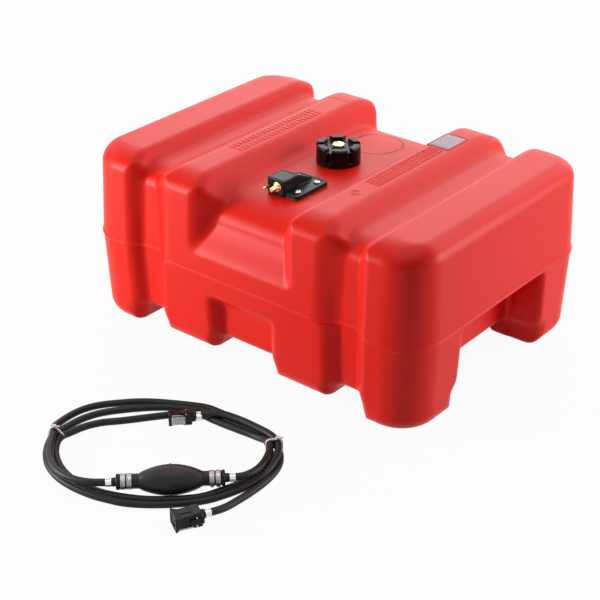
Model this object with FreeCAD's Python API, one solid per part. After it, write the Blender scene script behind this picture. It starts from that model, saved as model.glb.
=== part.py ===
"""Portable outboard fuel tank with its filler cap, withdrawal fitting and fuel line.

Frame: millimetres, +Z up, origin at the middle of the tank's underside box, +X to the
right end and -Y to the front, where the grip recess and the fuel nipple are.
"""
import FreeCAD, Part
import math
import os
from FreeCAD import Rotation, Vector

# ---------------------------------------------------------------- tank, overall
LENGTH = 640.0  # over the two end ribs
WIDTH = 464.0  # front to back
HEIGHT = 292.0  # feet to rib tops
SEAM_Z = 144.0  # mould parting line
WALL = 4.5  # moulded wall
SEAM_BEAD = 1.6  # how far the parting bead stands out
SEAM_BEAD_HEIGHT = 5.0

# ribs and valleys
DRAFT = 5.0  # lean of each wall from the seam to the top or the foot
END_RIB_EDGE = 226.0  # inner edge of an end rib, at its top
RIB_SLOPE_OUT = 12.0  # run of a rib's side wall on an outer valley
OUTER_VALLEY_DEPTH = 18.0
INNER_RIB_OUTER_EDGE = 150.0
INNER_RIB_INNER_EDGE = 94.0
RIB_SLOPE_IN = 22.0  # run of the inner ribs' walls
CENTRE_DEPTH = 30.0  # central valley below the rib tops
CENTRE_FRONT_DEPTH = 27.0  # grip recess behind the front
PLAN_RADIUS = 62.0  # tank corners in plan
END_TOP_RADIUS = 28.0
LONG_TOP_RADIUS = 36.0
BOTTOM_RADIUS = 26.0
EDGE_RADIUS = 9.0  # soft edge of each rib
RIB_CREST = 0.5  # rib edges curve this far past the flat top before it cuts them
CREASE_RADIUS = 6.0

# underside, feet and recesses
UNDERSIDE_Z = 36.0
INNER_FOOT_Z = 10.0
GRIP_SHELF_Z = 182.0  # front edge of the shelf under the grip recess
GRIP_SHELF_RISE = 17.0
LOWER_RECESS_TOP_Z = 108.0
LOWER_RECESS_DEPTH = 22.0
LOWER_RECESS_HALF = 62.0
LOWER_RECESS_SLOPE = 12.0
HAND_RECESS_HALF = 108.0  # half width of the hand recess in each end
HAND_RECESS_DEPTH = 62.0
HAND_RECESS_BELOW_SEAM = 5.0
FOOT_SLOPE = 5.0

# filler neck and its thread
CAP_X = -12.0
CAP_Y = 23.0
NECK_RADIUS = 26.5
NECK_BORE = 22.5
NECK_HEIGHT = 16.0
THREAD_PITCH = 4.0
THREAD_TURNS = 2.25
THREAD_DEPTH = 2.0
THREAD_WIDTH = 1.5
THREAD_CLEARANCE = 0.5
THREAD_START = 4.0  # first turn above the valley floor

# filler cap
CAP_RADIUS = 35.5
CAP_HEIGHT = 29.5
CAP_GAP = 0.4  # cap's lower edge above the valley floor
CAP_ROOF = 4.5
CAP_DISH_RADIUS = 22.0
CAP_LOBES = 6
CAP_SLOT_WIDTH = 5.0
CAP_SLOT_DEPTH = 4.5
CAP_EDGE = 4.5
CAP_LOBE_TURN = 41.0  # degrees from +X to the first slot
GASKET_THICKNESS = 2.0
GASKET_SQUEEZE = 0.3  # gap left at the gasket's faces

# vent screw
VENT_HEAD_RADIUS = 9.3
VENT_HEAD_HEIGHT = 4.2
VENT_SHANK_RADIUS = 4.0
VENT_CLEARANCE = 0.05
VENT_SEAL_THICKNESS = 1.5
VENT_SLOT = 1.6
VENT_PASSAGE = 1.0

# withdrawal fitting
FITTING_X = 4.0
FITTING_Y = -96.0
PLATE_X = 58.0
PLATE_Y = 76.0
PLATE_THICKNESS = 5.0
PLATE_CORNER = 6.0
PLATE_GASKET = 2.0
SCREW_SPACING_X = 36.0
SCREW_SPACING_Y = 45.0
SCREW_RADIUS = 2.5
SCREW_HEAD_RADIUS = 4.8
SCREW_HEAD_HEIGHT = 3.0
SCREW_LENGTH = 15.0
SCREW_CLEARANCE = 0.3
INSERT_RADIUS = 4.0
INSERT_LENGTH = 9.0
BOSS_RADIUS = 8.0
TANK_PORT_RADIUS = 15.0
PORT_CLEARANCE = 0.5
PLUG_DEPTH = 10.0  # spigot of the plate inside the tank port
RISER_X = -6.0
RAMP_WIDTH = 28.0
RAMP_LENGTH = 34.0
BLOCK_X = 33.0
BLOCK_Y = 36.0
BLOCK_HEIGHT = 27.0
BLOCK_CHAMFER = 5.0
BLOCK_OVERHANG = 3.0  # block's front beyond the plate
BLOCK_GAP = 0.1
NIPPLE_Z = 15.0  # nipple axis above the valley floor
NIPPLE_RADIUS = 4.0
NIPPLE_LENGTH = 15.0
NIPPLE_COLLAR_RADIUS = 6.6
NIPPLE_COLLAR = 4.0
NIPPLE_BORE = 2.6
NIPPLE_SEAT = 1.6
NIPPLE_SINK = 14.0
PIN_OFFSET = 13.0
PIN_RADIUS = 2.2
PIN_LENGTH = 17.0
PIN_SINK = 10.0
POPPET_CLEARANCE = 0.08
POPPET_LENGTH = 9.0
POPPET_TRAVEL = 3.0
POPPET_CUP_RADIUS = 1.8  # cup in the poppet's tail that takes the spring
POPPET_CUP_DEPTH = 6.0
NIPPLE_SPRING_LENGTH = 14.7  # with the poppet pushed in
POPPET_SPRING_RADIUS = 1.4
SPRING_WIRE = 0.5
FUEL_PASSAGE = 3.0
PICKUP_RADIUS = 5.0
PICKUP_BORE = 3.6
PICKUP_SOCKET = 8.0
FILTER_RADIUS = 9.0
FILTER_LENGTH = 22.0
FILTER_LIFT = 4.0  # filter foot above the tank floor

# plate on the third rib
LABEL_X = 117.5
LABEL_Y = 132.0
LABEL_SIZE_X = 36.0
LABEL_SIZE_Y = 52.0
LABEL_THICKNESS = 0.8

# fuel line
HOSE_RADIUS = 5.3
BULB_START = Vector(73.5, -574.7, 22.0)  # where the hose ends against the inlet valve
BULB_ANGLE = 43.0  # direction of the primer bulb, from +X
BULB_LENGTH = 84.0
BULB_RADIUS = 21.3
BULB_END_RADIUS = 10.5
BULB_WALL = 3.0
BULB_RIDGE = 0.7
BULB_RIDGE_WIDTH = 3.0
BULB_SLEEVE = 11.0  # ribbed sleeve at each end of the bulb
BULB_SLEEVE_RADIUS = 10.0
VALVE_RADIUS = 8.6
VALVE_LENGTH = 36.0
VALVE_SHOULDER_RADIUS = 11.0
VALVE_SHOULDER = 5.0
VALVE_WALL = 2.0
VALVE_LIP = 3.0
VALVE_CHAMBER = 11.0
BAND_WIDTH = 6.5
BAND_GAP = 2.0
BAND_THICKNESS = 1.2
BARB_RADIUS = 3.5
BARB_WALL = 1.2
BARB_LENGTH = 16.0
BARB_BASE_RADIUS = 6.2
BARB_BASE = 5.0
CLAMP_WIDTH = 8.0
CLAMP_THICKNESS = 0.9
CLAMP_EAR = 3.0
FLAP_THICKNESS = 1.5
FLAP_CLEARANCE = 0.3

# connectors on the fuel line: length, width and height of the housing, its place and turn
TANK_CONNECTOR = (38.0, 26.0, 21.0)
TANK_CONNECTOR_AT = Vector(193.0, -558.0, 0.0)
TANK_CONNECTOR_ANGLE = 60.0
ENGINE_CONNECTOR = (34.0, 18.0, 17.0)
ENGINE_CONNECTOR_AT = Vector(24.0, -390.0, 0.0)
ENGINE_CONNECTOR_ANGLE = 45.0
CONNECTOR_EDGE = 2.5
CONNECTOR_RIM = 1.2  # how far the mouth's rim stands out
CONNECTOR_RIM_LENGTH = 3.5
CONNECTOR_COLLAR = 5.0
CONNECTOR_COLLAR_RADIUS = 7.0
PORT_CLEARANCE_RADIAL = 0.1
PORT_SINK = 18.0
GUIDE_CLEARANCE = 0.2
OUTLET_BORE = 2.3
SEAL_DEPTH = 4.0  # of the port's seal behind the mouth
SEAL_THICKNESS = 1.6
SEAL_DEEP = 1.3
SEAL_CLEARANCE = 0.05  # from the seal to what goes into the port
LEVER_LENGTH = 17.0
LEVER_WIDTH = 9.0
LEVER_THICKNESS = 2.0
LEVER_STANDOFF = 1.5  # how far the lever stands out of the housing
LEVER_TAIL = 1.5
LEVER_ROOM = 0.5  # clearance round the latch lever
LEVER_SWING_ROOM = 2.5  # pocket's depth under the lever
LEVER_PIN_RADIUS = 1.2
LEVER_PIN_CLEARANCE = 0.05
LEVER_HUB_RADIUS = 2.2
TAG_THICKNESS = 0.5
TAG_LENGTH = 19.0
TIE_THICKNESS = 1.3
TIE_WIDTH = 3.2
TIE_GAP = 0.2
TIE_CORNER = 4.0
COIL_LAYER = 10.6  # height of one layer of turns
COIL_HEIGHT = 21.4
LEFT_TIE = (-83.0, -533.0, 34.0, 25.0)  # x, y, turn and width across the bundle
RIGHT_TIE = (177.0, -361.0, 48.0, 27.0)
STACKED_LEFT = (-24.0, -455.0)  # turns stack left of this x and in front of this y
STACKED_RIGHT = (66.0, -414.0)  # turns stack right of this x and behind this y

# routes of the hose outside the coil, from the fitting to the coil
INLET_ROUTE = [(56.0, -591.0, 21.5), (30.0, -600.5, 19.5), (2.0, -602.0, 17.8), (-25.5, -593.5, 16.6)]
OUTLET_ROUTE = [(198.6, -457.6, 22.0), (205.4, -443.4, 21.6), (207.6, -427.5, 20.4), (206.0, -412.5, 19.0)]
TANK_LEAD = [(211.3, -526.3, 10.4), (215.6, -508.0, 8.0), (216.0, -489.0, 6.0)]
ENGINE_LEAD = [(49.5, -364.5, 9.3), (67.5, -352.0, 15.6)]

# outline of the tied turns: x, y, corner radius
COIL_OUTSIDE = [
    (-45, -592, 60), (10, -606, 80), (62, -604, 80), (130, -574, 90), (190, -516, 8),
    (205, -491, 2), (221, -488, 4), (223, -425, 45), (205, -372, 45), (165, -337, 50),
    (108, -326, 90), (50, -336, 120), (-8, -350, 100), (-58, -384, 100), (-104, -430, 60),
    (-117, -482, 60), (-100, -548, 60),
]
COIL_INSIDE = [
    (-44, -558, 30), (-70, -522, 30), (-66, -485, 40), (-40, -452, 40), (-3, -395, 12),
    (29, -363, 10), (49, -362, 8), (66, -369, 8), (95, -364, 60), (130, -358, 40),
    (160, -364, 40), (184, -388, 40), (198, -428, 50), (190, -462, 50), (175.5, -507, 20),
    (113, -566, 30), (85, -578, 40), (30, -586, 60), (-12, -578, 50),
]

# places worked out from the sizes above
FLOOR_Z = HEIGHT - CENTRE_DEPTH  # floor of the central valley
END_X = LENGTH / 2
TANK_INSIDE_Z = UNDERSIDE_Z + WALL
CAP_BASE_Z = FLOOR_Z + CAP_GAP
NECK_TOP_Z = FLOOR_Z + NECK_HEIGHT
PLATE_TOP_Z = FLOOR_Z + PLATE_GASKET + PLATE_THICKNESS
BLOCK_FRONT_Y = FITTING_Y - PLATE_Y / 2 - BLOCK_OVERHANG
BLOCK_MID_X = FITTING_X + RISER_X - 4.0
NIPPLE_AXIS_Z = FLOOR_Z + NIPPLE_Z
JOIN = 2.0  # overlap of the two mould halves' forms at the seam


# ---------------------------------------------------------------- helpers
def box(x0, x1, y0, y1, z0, z1):
    return Part.makeBox(x1 - x0, y1 - y0, z1 - z0, Vector(x0, y0, z0))


def rod(base, direction, radius, length):
    return Part.makeCylinder(radius, length, base, direction)


def pipe(base, direction, outer, inner, length):
    return rod(base, direction, outer, length).cut(rod(base, direction, inner, length))


def rounded_path(points, radii, closed):
    """Edges of straight runs joined by tangent arcs, one radius for each point."""
    count = len(points)
    entry, leave, middle = [], [], []
    for i, point in enumerate(points):
        before = points[i - 1] - point
        after = points[(i + 1) % count] - point
        is_end = not closed and i in (0, count - 1)
        if is_end or radii[i] <= 0:
            entry.append(point)
            leave.append(point)
            middle.append(None)
            continue
        before.normalize()
        after.normalize()
        half = before.getAngle(after) / 2
        back = radii[i] / math.tan(half)
        bisector = before + after
        bisector.normalize()
        entry.append(point + before * back)
        leave.append(point + after * back)
        middle.append(point + bisector * (radii[i] / math.sin(half) - radii[i]))
    edges = []
    for i in range(count):
        if middle[i] is not None:
            edges.append(Part.Arc(entry[i], middle[i], leave[i]).toShape())
        if closed or i < count - 1:
            end = entry[(i + 1) % count]
            if leave[i].distanceToPoint(end) > 1e-6:
                edges.append(Part.LineSegment(leave[i], end).toShape())
    return edges


def prism(plane, corners, low, high):
    """Extrude an outline of (u, v, radius) corners; plane 'xy', 'xz' or 'yz'."""
    place = {
        "xy": lambda u, v: Vector(u, v, low),
        "xz": lambda u, v: Vector(u, low, v),
        "yz": lambda u, v: Vector(low, u, v),
    }[plane]
    along = {"xy": Vector(0, 0, 1), "xz": Vector(0, 1, 0), "yz": Vector(1, 0, 0)}[plane]
    points = [place(u, v) for u, v, _ in corners]
    edges = rounded_path(points, [r for _, _, r in corners], True)
    return Part.Face(Part.Wire(edges)).extrude(along * (high - low))


def mirrored(corners):
    """Close a half outline, given with u < 0, by its mirror image."""
    return corners + [(-u, v, r) for u, v, r in reversed(corners)]


def fused(shapes):
    """One solid from overlapping shapes, with seams between flat faces taken out."""
    return shapes[0].multiFuse(shapes[1:]).removeSplitter()


def mirror_x(shape):
    return shape.mirror(Vector(0, 0, 0), Vector(1, 0, 0))


def mirror_y(shape):
    return shape.mirror(Vector(0, 0, 0), Vector(0, 1, 0))


def lathe(profile, base, direction):
    """Turn (radius, along) corners round an axis."""
    points = [Vector(r, 0, s) for r, s in profile]
    wire = Part.makePolygon(points + [points[0]])
    solid = Part.Face(wire).revolve(Vector(0, 0, 0), Vector(0, 0, 1), 360)
    solid.Placement = FreeCAD.Placement(base, Rotation(Vector(0, 0, 1), direction))
    return solid


def soft_box(x0, x1, y0, y1, z0, z1, radius):
    """A box with its four upright edges rounded."""
    corners = [(x0, y0, radius), (x1, y0, radius), (x1, y1, radius), (x0, y1, radius)]
    return prism("xy", corners, z0, z1)


def save(name, shape):
    shape.exportStep(f"parts/{name}.step")
    print(f"{name}: {len(shape.Solids)} solid(s), {shape.Volume / 1000:.1f} cm3")


# ---------------------------------------------------------------- tank shell
def inner_rib_upper(t):
    inner = INNER_RIB_INNER_EDGE + t
    outer = INNER_RIB_OUTER_EDGE - t
    foot_in = inner - RIB_SLOPE_IN
    foot_out = outer + RIB_SLOPE_IN
    top = HEIGHT - t
    side = WIDTH / 2 - t
    edge = max(EDGE_RADIUS - t, 1.0)
    low = SEAM_Z - JOIN
    section = prism("xz", [
        (foot_in, low, 0), (foot_in, top - CENTRE_DEPTH, CREASE_RADIUS),
        (inner, top + RIB_CREST, edge), (outer, top + RIB_CREST, edge),
        (foot_out, top - OUTER_VALLEY_DEPTH, CREASE_RADIUS), (foot_out, low, 0),
    ], -WIDTH, WIDTH)
    plan = prism("xy", mirror_plan([
        (inner, -side, edge), (outer, -side, edge),
        (foot_out, -side + OUTER_VALLEY_DEPTH, CREASE_RADIUS),
    ], [(foot_in, -side + CENTRE_FRONT_DEPTH, CREASE_RADIUS)]), low, HEIGHT)
    return section.common(plan).common(upper_profile(t))


def mirror_plan(right, left):
    """A plan outline from its front half: right-hand corners, then left-hand ones."""
    back = [(x, -y, r) for x, y, r in reversed(right)]
    return right + back + [(x, -y, r) for x, y, r in left] + list(reversed(left))


def upper_profile(t):
    side = WIDTH / 2 - t
    radius = LONG_TOP_RADIUS - t
    return prism("yz", mirrored([
        (-side, SEAM_Z - HAND_RECESS_BELOW_SEAM, 0), (-side + DRAFT, HEIGHT - t, radius),
    ]), -LENGTH, LENGTH)


def lower_profile(t, foot_z):
    side = WIDTH / 2 - t
    return prism("yz", mirrored([
        (-side + DRAFT, foot_z + t, BOTTOM_RADIUS - t), (-side, SEAM_Z + JOIN, 0),
    ]), -LENGTH, LENGTH)


def inner_rib_lower(t):
    inner = LOWER_RECESS_HALF + t
    foot_in = inner - LOWER_RECESS_SLOPE
    foot_out = INNER_RIB_OUTER_EDGE + RIB_SLOPE_IN - t
    outer = foot_out - RIB_SLOPE_OUT
    side = WIDTH / 2 - t
    edge = max(EDGE_RADIUS - t, 1.0)
    base = INNER_FOOT_Z + t
    high = SEAM_Z + JOIN
    section = prism("xz", [
        (foot_in, high, 0), (foot_in, UNDERSIDE_Z + t, 0), (inner, base, edge),
        (outer, base, edge), (foot_out, UNDERSIDE_Z + t, 0), (foot_out, high, 0),
    ], -WIDTH, WIDTH)
    plan = prism("xy", mirror_plan([
        (inner, -side, edge), (outer, -side, edge),
        (foot_out, -side + OUTER_VALLEY_DEPTH, CREASE_RADIUS),
    ], [(foot_in, -side + LOWER_RECESS_DEPTH, CREASE_RADIUS)]), 0, high)
    return section.common(plan).common(lower_profile(t, INNER_FOOT_Z))


def end_rib_upper(t):
    edge_x = END_RIB_EDGE + t
    foot_x = edge_x - RIB_SLOPE_OUT
    end = END_X - t
    top = HEIGHT - t
    side = WIDTH / 2 - t
    low = SEAM_Z - HAND_RECESS_BELOW_SEAM + t
    edge = max(EDGE_RADIUS - t, 1.0)
    section = prism("xz", [
        (foot_x, low, 0), (foot_x, top - OUTER_VALLEY_DEPTH, CREASE_RADIUS),
        (edge_x, top + RIB_CREST, edge), (end - DRAFT, top + RIB_CREST, END_TOP_RADIUS - t),
        (end, low, 0),
    ], -WIDTH, WIDTH)
    plan = prism("xy", mirror_plan([
        (edge_x, -side, edge), (end, -side, PLAN_RADIUS - t),
    ], [(foot_x, -side + OUTER_VALLEY_DEPTH, CREASE_RADIUS)]), low, HEIGHT)
    return section.common(plan).common(upper_profile(t))


def end_foot(t):
    """The front corner foot of the right end."""
    edge_x = END_RIB_EDGE + t
    foot_x = edge_x - RIB_SLOPE_OUT
    end = END_X - t
    side = WIDTH / 2 - t
    hand = HAND_RECESS_HALF + t
    high = SEAM_Z + JOIN
    section = prism("xz", [
        (foot_x, high, 0), (foot_x, UNDERSIDE_Z + t, 0), (edge_x, t, EDGE_RADIUS),
        (end - DRAFT, t, BOTTOM_RADIUS - t), (end, high, 0),
    ], -WIDTH, WIDTH)
    plan = prism("xy", [
        (edge_x, -side, max(EDGE_RADIUS - t, 1.0)), (end, -side, PLAN_RADIUS - t),
        (end, -hand, EDGE_RADIUS), (foot_x, -hand, 0), (foot_x, -side + OUTER_VALLEY_DEPTH, 0),
    ], 0, high)
    profile = prism("yz", [
        (-side + DRAFT, t, BOTTOM_RADIUS - t), (-hand - FOOT_SLOPE, t, EDGE_RADIUS),
        (-hand, high, 0), (-side, high, 0),
    ], 0, LENGTH)
    return section.common(plan).common(profile)


def core(t):
    """Both outer valleys, the wall behind each hand recess and the central valley."""
    deep = WIDTH / 2 - OUTER_VALLEY_DEPTH - t
    valley = prism("yz", mirrored([
        (-deep + DRAFT, UNDERSIDE_Z + t, 12.0), (-deep, SEAM_Z, 0),
        (-deep + DRAFT, HEIGHT - OUTER_VALLEY_DEPTH - t, LONG_TOP_RADIUS - t - 6.0),
    ]), INNER_RIB_INNER_EDGE + EDGE_RADIUS, END_RIB_EDGE - 4.0)
    behind = box(
        INNER_RIB_OUTER_EDGE, END_X - HAND_RECESS_DEPTH - t,
        -HAND_RECESS_HALF - 2 * t - FOOT_SLOPE, HAND_RECESS_HALF + 2 * t + FOOT_SLOPE,
        UNDERSIDE_Z + t, SEAM_Z + JOIN,
    )
    front = WIDTH / 2 - t
    half = INNER_RIB_INNER_EDGE + EDGE_RADIUS
    centre = prism("yz", mirrored([
        (-front + LOWER_RECESS_DEPTH, UNDERSIDE_Z + t, 12.0),
        (-front + LOWER_RECESS_DEPTH, LOWER_RECESS_TOP_Z + t, CREASE_RADIUS),
        (-front, LOWER_RECESS_TOP_Z + t, CREASE_RADIUS),
        (-front, GRIP_SHELF_Z - t, CREASE_RADIUS),
        (-front + CENTRE_FRONT_DEPTH, GRIP_SHELF_Z + GRIP_SHELF_RISE - t, CREASE_RADIUS),
        (-front + CENTRE_FRONT_DEPTH + DRAFT, FLOOR_Z - t, LONG_TOP_RADIUS - t),
    ]), -half, half)
    sides = [valley, behind]
    return sides + [mirror_x(s) for s in sides] + [centre]


def tank_form(t):
    """The tank's outer form moved inwards by t."""
    foot = end_foot(t)
    right = [inner_rib_upper(t), inner_rib_lower(t), end_rib_upper(t), foot, mirror_y(foot)]
    left = [mirror_x(s) for s in right]
    return fused(right + left + core(t))


def helix_ridge(radius, start_z, outward):
    """A trapezoid thread ridge whose root sits just inside the wall it stands on."""
    sign = 1.0 if outward else -1.0
    root = THREAD_WIDTH / 2
    crest = THREAD_WIDTH / 3
    sink = 0.4
    spine = Part.makeHelix(THREAD_PITCH, THREAD_PITCH * THREAD_TURNS, radius)
    corners = [
        Vector(radius - sign * sink, 0, -root), Vector(radius + sign * THREAD_DEPTH, 0, -crest),
        Vector(radius + sign * THREAD_DEPTH, 0, crest), Vector(radius - sign * sink, 0, root),
    ]
    profile = Part.makePolygon(corners + [corners[0]])
    ridge = Part.Wire(spine.Edges).makePipeShell([profile], True, True)
    ridge.translate(Vector(CAP_X, CAP_Y, start_z))
    return ridge


def screw_places():
    for sx in (-0.5, 0.5):
        for sy in (-0.5, 0.5):
            yield FITTING_X + sx * SCREW_SPACING_X, FITTING_Y + sy * SCREW_SPACING_Y


def tank_shell():
    up = Vector(0, 0, 1)
    outer = tank_form(0.0)
    bead_low = SEAM_Z - SEAM_BEAD_HEIGHT / 2
    ring = outer.slice(up, SEAM_Z + JOIN + 1.0)
    outline = max(ring, key=lambda w: w.BoundBox.DiagonalLength)
    outline.translate(Vector(0, 0, bead_low - SEAM_Z - JOIN - 1.0))
    wide = Part.Face(outline.makeOffset2D(SEAM_BEAD)).extrude(up * SEAM_BEAD_HEIGHT)
    keep = Part.Face(outline.makeOffset2D(-WALL / 2)).extrude(up * SEAM_BEAD_HEIGHT)
    bead = wide.cut(keep)
    neck = rod(Vector(CAP_X, CAP_Y, FLOOR_Z - WALL), up, NECK_RADIUS, NECK_HEIGHT + WALL)
    thread = helix_ridge(NECK_RADIUS, FLOOR_Z + THREAD_START, True)
    bosses = [
        rod(Vector(x, y, FLOOR_Z - WALL - INSERT_LENGTH), up, BOSS_RADIUS, INSERT_LENGTH + WALL / 2)
        for x, y in screw_places()
    ]
    shell = outer.cut(tank_form(WALL)).fuse(bead)
    shell = shell.multiFuse([neck, thread] + bosses)
    bore = rod(Vector(CAP_X, CAP_Y, FLOOR_Z - 3 * WALL), up, NECK_BORE, NECK_HEIGHT + 4 * WALL)
    port = rod(Vector(FITTING_X, FITTING_Y, FLOOR_Z - 3 * WALL), up, TANK_PORT_RADIUS, 4 * WALL)
    sockets = [
        rod(Vector(x, y, FLOOR_Z - INSERT_LENGTH), up, INSERT_RADIUS, INSERT_LENGTH)
        for x, y in screw_places()
    ]
    return shell.cut(Part.makeCompound([bore, port] + sockets))


# ---------------------------------------------------------------- filler cap
def cap_parts():
    up = Vector(0, 0, 1)
    axis = Vector(CAP_X, CAP_Y, 0)
    base = axis + up * CAP_BASE_Z
    gasket_top = NECK_TOP_Z + GASKET_SQUEEZE + GASKET_THICKNESS
    dish_z = gasket_top + GASKET_SQUEEZE + CAP_ROOF
    inside = NECK_RADIUS + THREAD_DEPTH + THREAD_CLEARANCE
    body = lathe([
        (0, 0), (CAP_RADIUS, 0), (CAP_RADIUS, CAP_HEIGHT - CAP_EDGE),
        (CAP_RADIUS - 0.3 * CAP_EDGE, CAP_HEIGHT - 0.3 * CAP_EDGE),
        (CAP_RADIUS - CAP_EDGE, CAP_HEIGHT), (CAP_DISH_RADIUS + 2.0, CAP_HEIGHT),
        (CAP_DISH_RADIUS, dish_z - CAP_BASE_Z), (0, dish_z - CAP_BASE_Z),
    ], base, up)
    hollow = rod(base, up, inside, gasket_top + GASKET_SQUEEZE - CAP_BASE_Z)
    slots = []
    for i in range(CAP_LOBES):
        slot = box(CAP_RADIUS - CAP_SLOT_DEPTH, CAP_RADIUS + 1, -CAP_SLOT_WIDTH / 2,
                   CAP_SLOT_WIDTH / 2, CAP_HEIGHT * 0.25, CAP_HEIGHT + 1)
        notch = box(CAP_DISH_RADIUS - 2, CAP_RADIUS + 1, -CAP_SLOT_WIDTH / 2,
                    CAP_SLOT_WIDTH / 2, dish_z - CAP_BASE_Z, CAP_HEIGHT + 1)
        turned = slot.fuse(notch)
        turned.rotate(Vector(0, 0, 0), up, CAP_LOBE_TURN + 360.0 / CAP_LOBES * i)
        turned.translate(base)
        slots.append(turned)
    thread = helix_ridge(inside, FLOOR_Z + THREAD_START + THREAD_PITCH / 2, False)
    vent_hole = rod(base, up, VENT_SHANK_RADIUS + VENT_CLEARANCE, CAP_HEIGHT)
    shell = body.cut(Part.makeCompound([hollow] + slots)).fuse(thread).cut(vent_hole)
    save("cap_shell", shell)
    gasket = pipe(axis + up * (NECK_TOP_Z + GASKET_SQUEEZE), up, inside - GASKET_SQUEEZE,
                  NECK_BORE, GASKET_THICKNESS)
    save("cap_gasket", gasket)
    seal_z = dish_z
    head_z = seal_z + VENT_SEAL_THICKNESS
    seal = pipe(axis + up * seal_z, up, VENT_HEAD_RADIUS - 1.0, VENT_SHANK_RADIUS + 0.1,
                VENT_SEAL_THICKNESS)
    save("vent_seal", seal)
    shank_low = gasket_top - GASKET_THICKNESS
    screw = rod(axis + up * head_z, up, VENT_HEAD_RADIUS, VENT_HEAD_HEIGHT)
    screw = screw.fuse(rod(axis + up * shank_low, up, VENT_SHANK_RADIUS, head_z - shank_low + 1))
    groove = box(-VENT_HEAD_RADIUS, VENT_HEAD_RADIUS, -VENT_SLOT / 2, VENT_SLOT / 2, -1.5, 1)
    groove.translate(axis + up * (head_z + VENT_HEAD_HEIGHT))
    passage = rod(axis + up * shank_low, up, VENT_PASSAGE, head_z - shank_low + 2)
    side_port = rod(axis + Vector(0, -VENT_HEAD_RADIUS - 1, head_z + 1.5), Vector(0, 1, 0),
                    VENT_PASSAGE, VENT_HEAD_RADIUS + 1)
    save("vent_screw", screw.cut(Part.makeCompound([groove, passage, side_port])))


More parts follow.
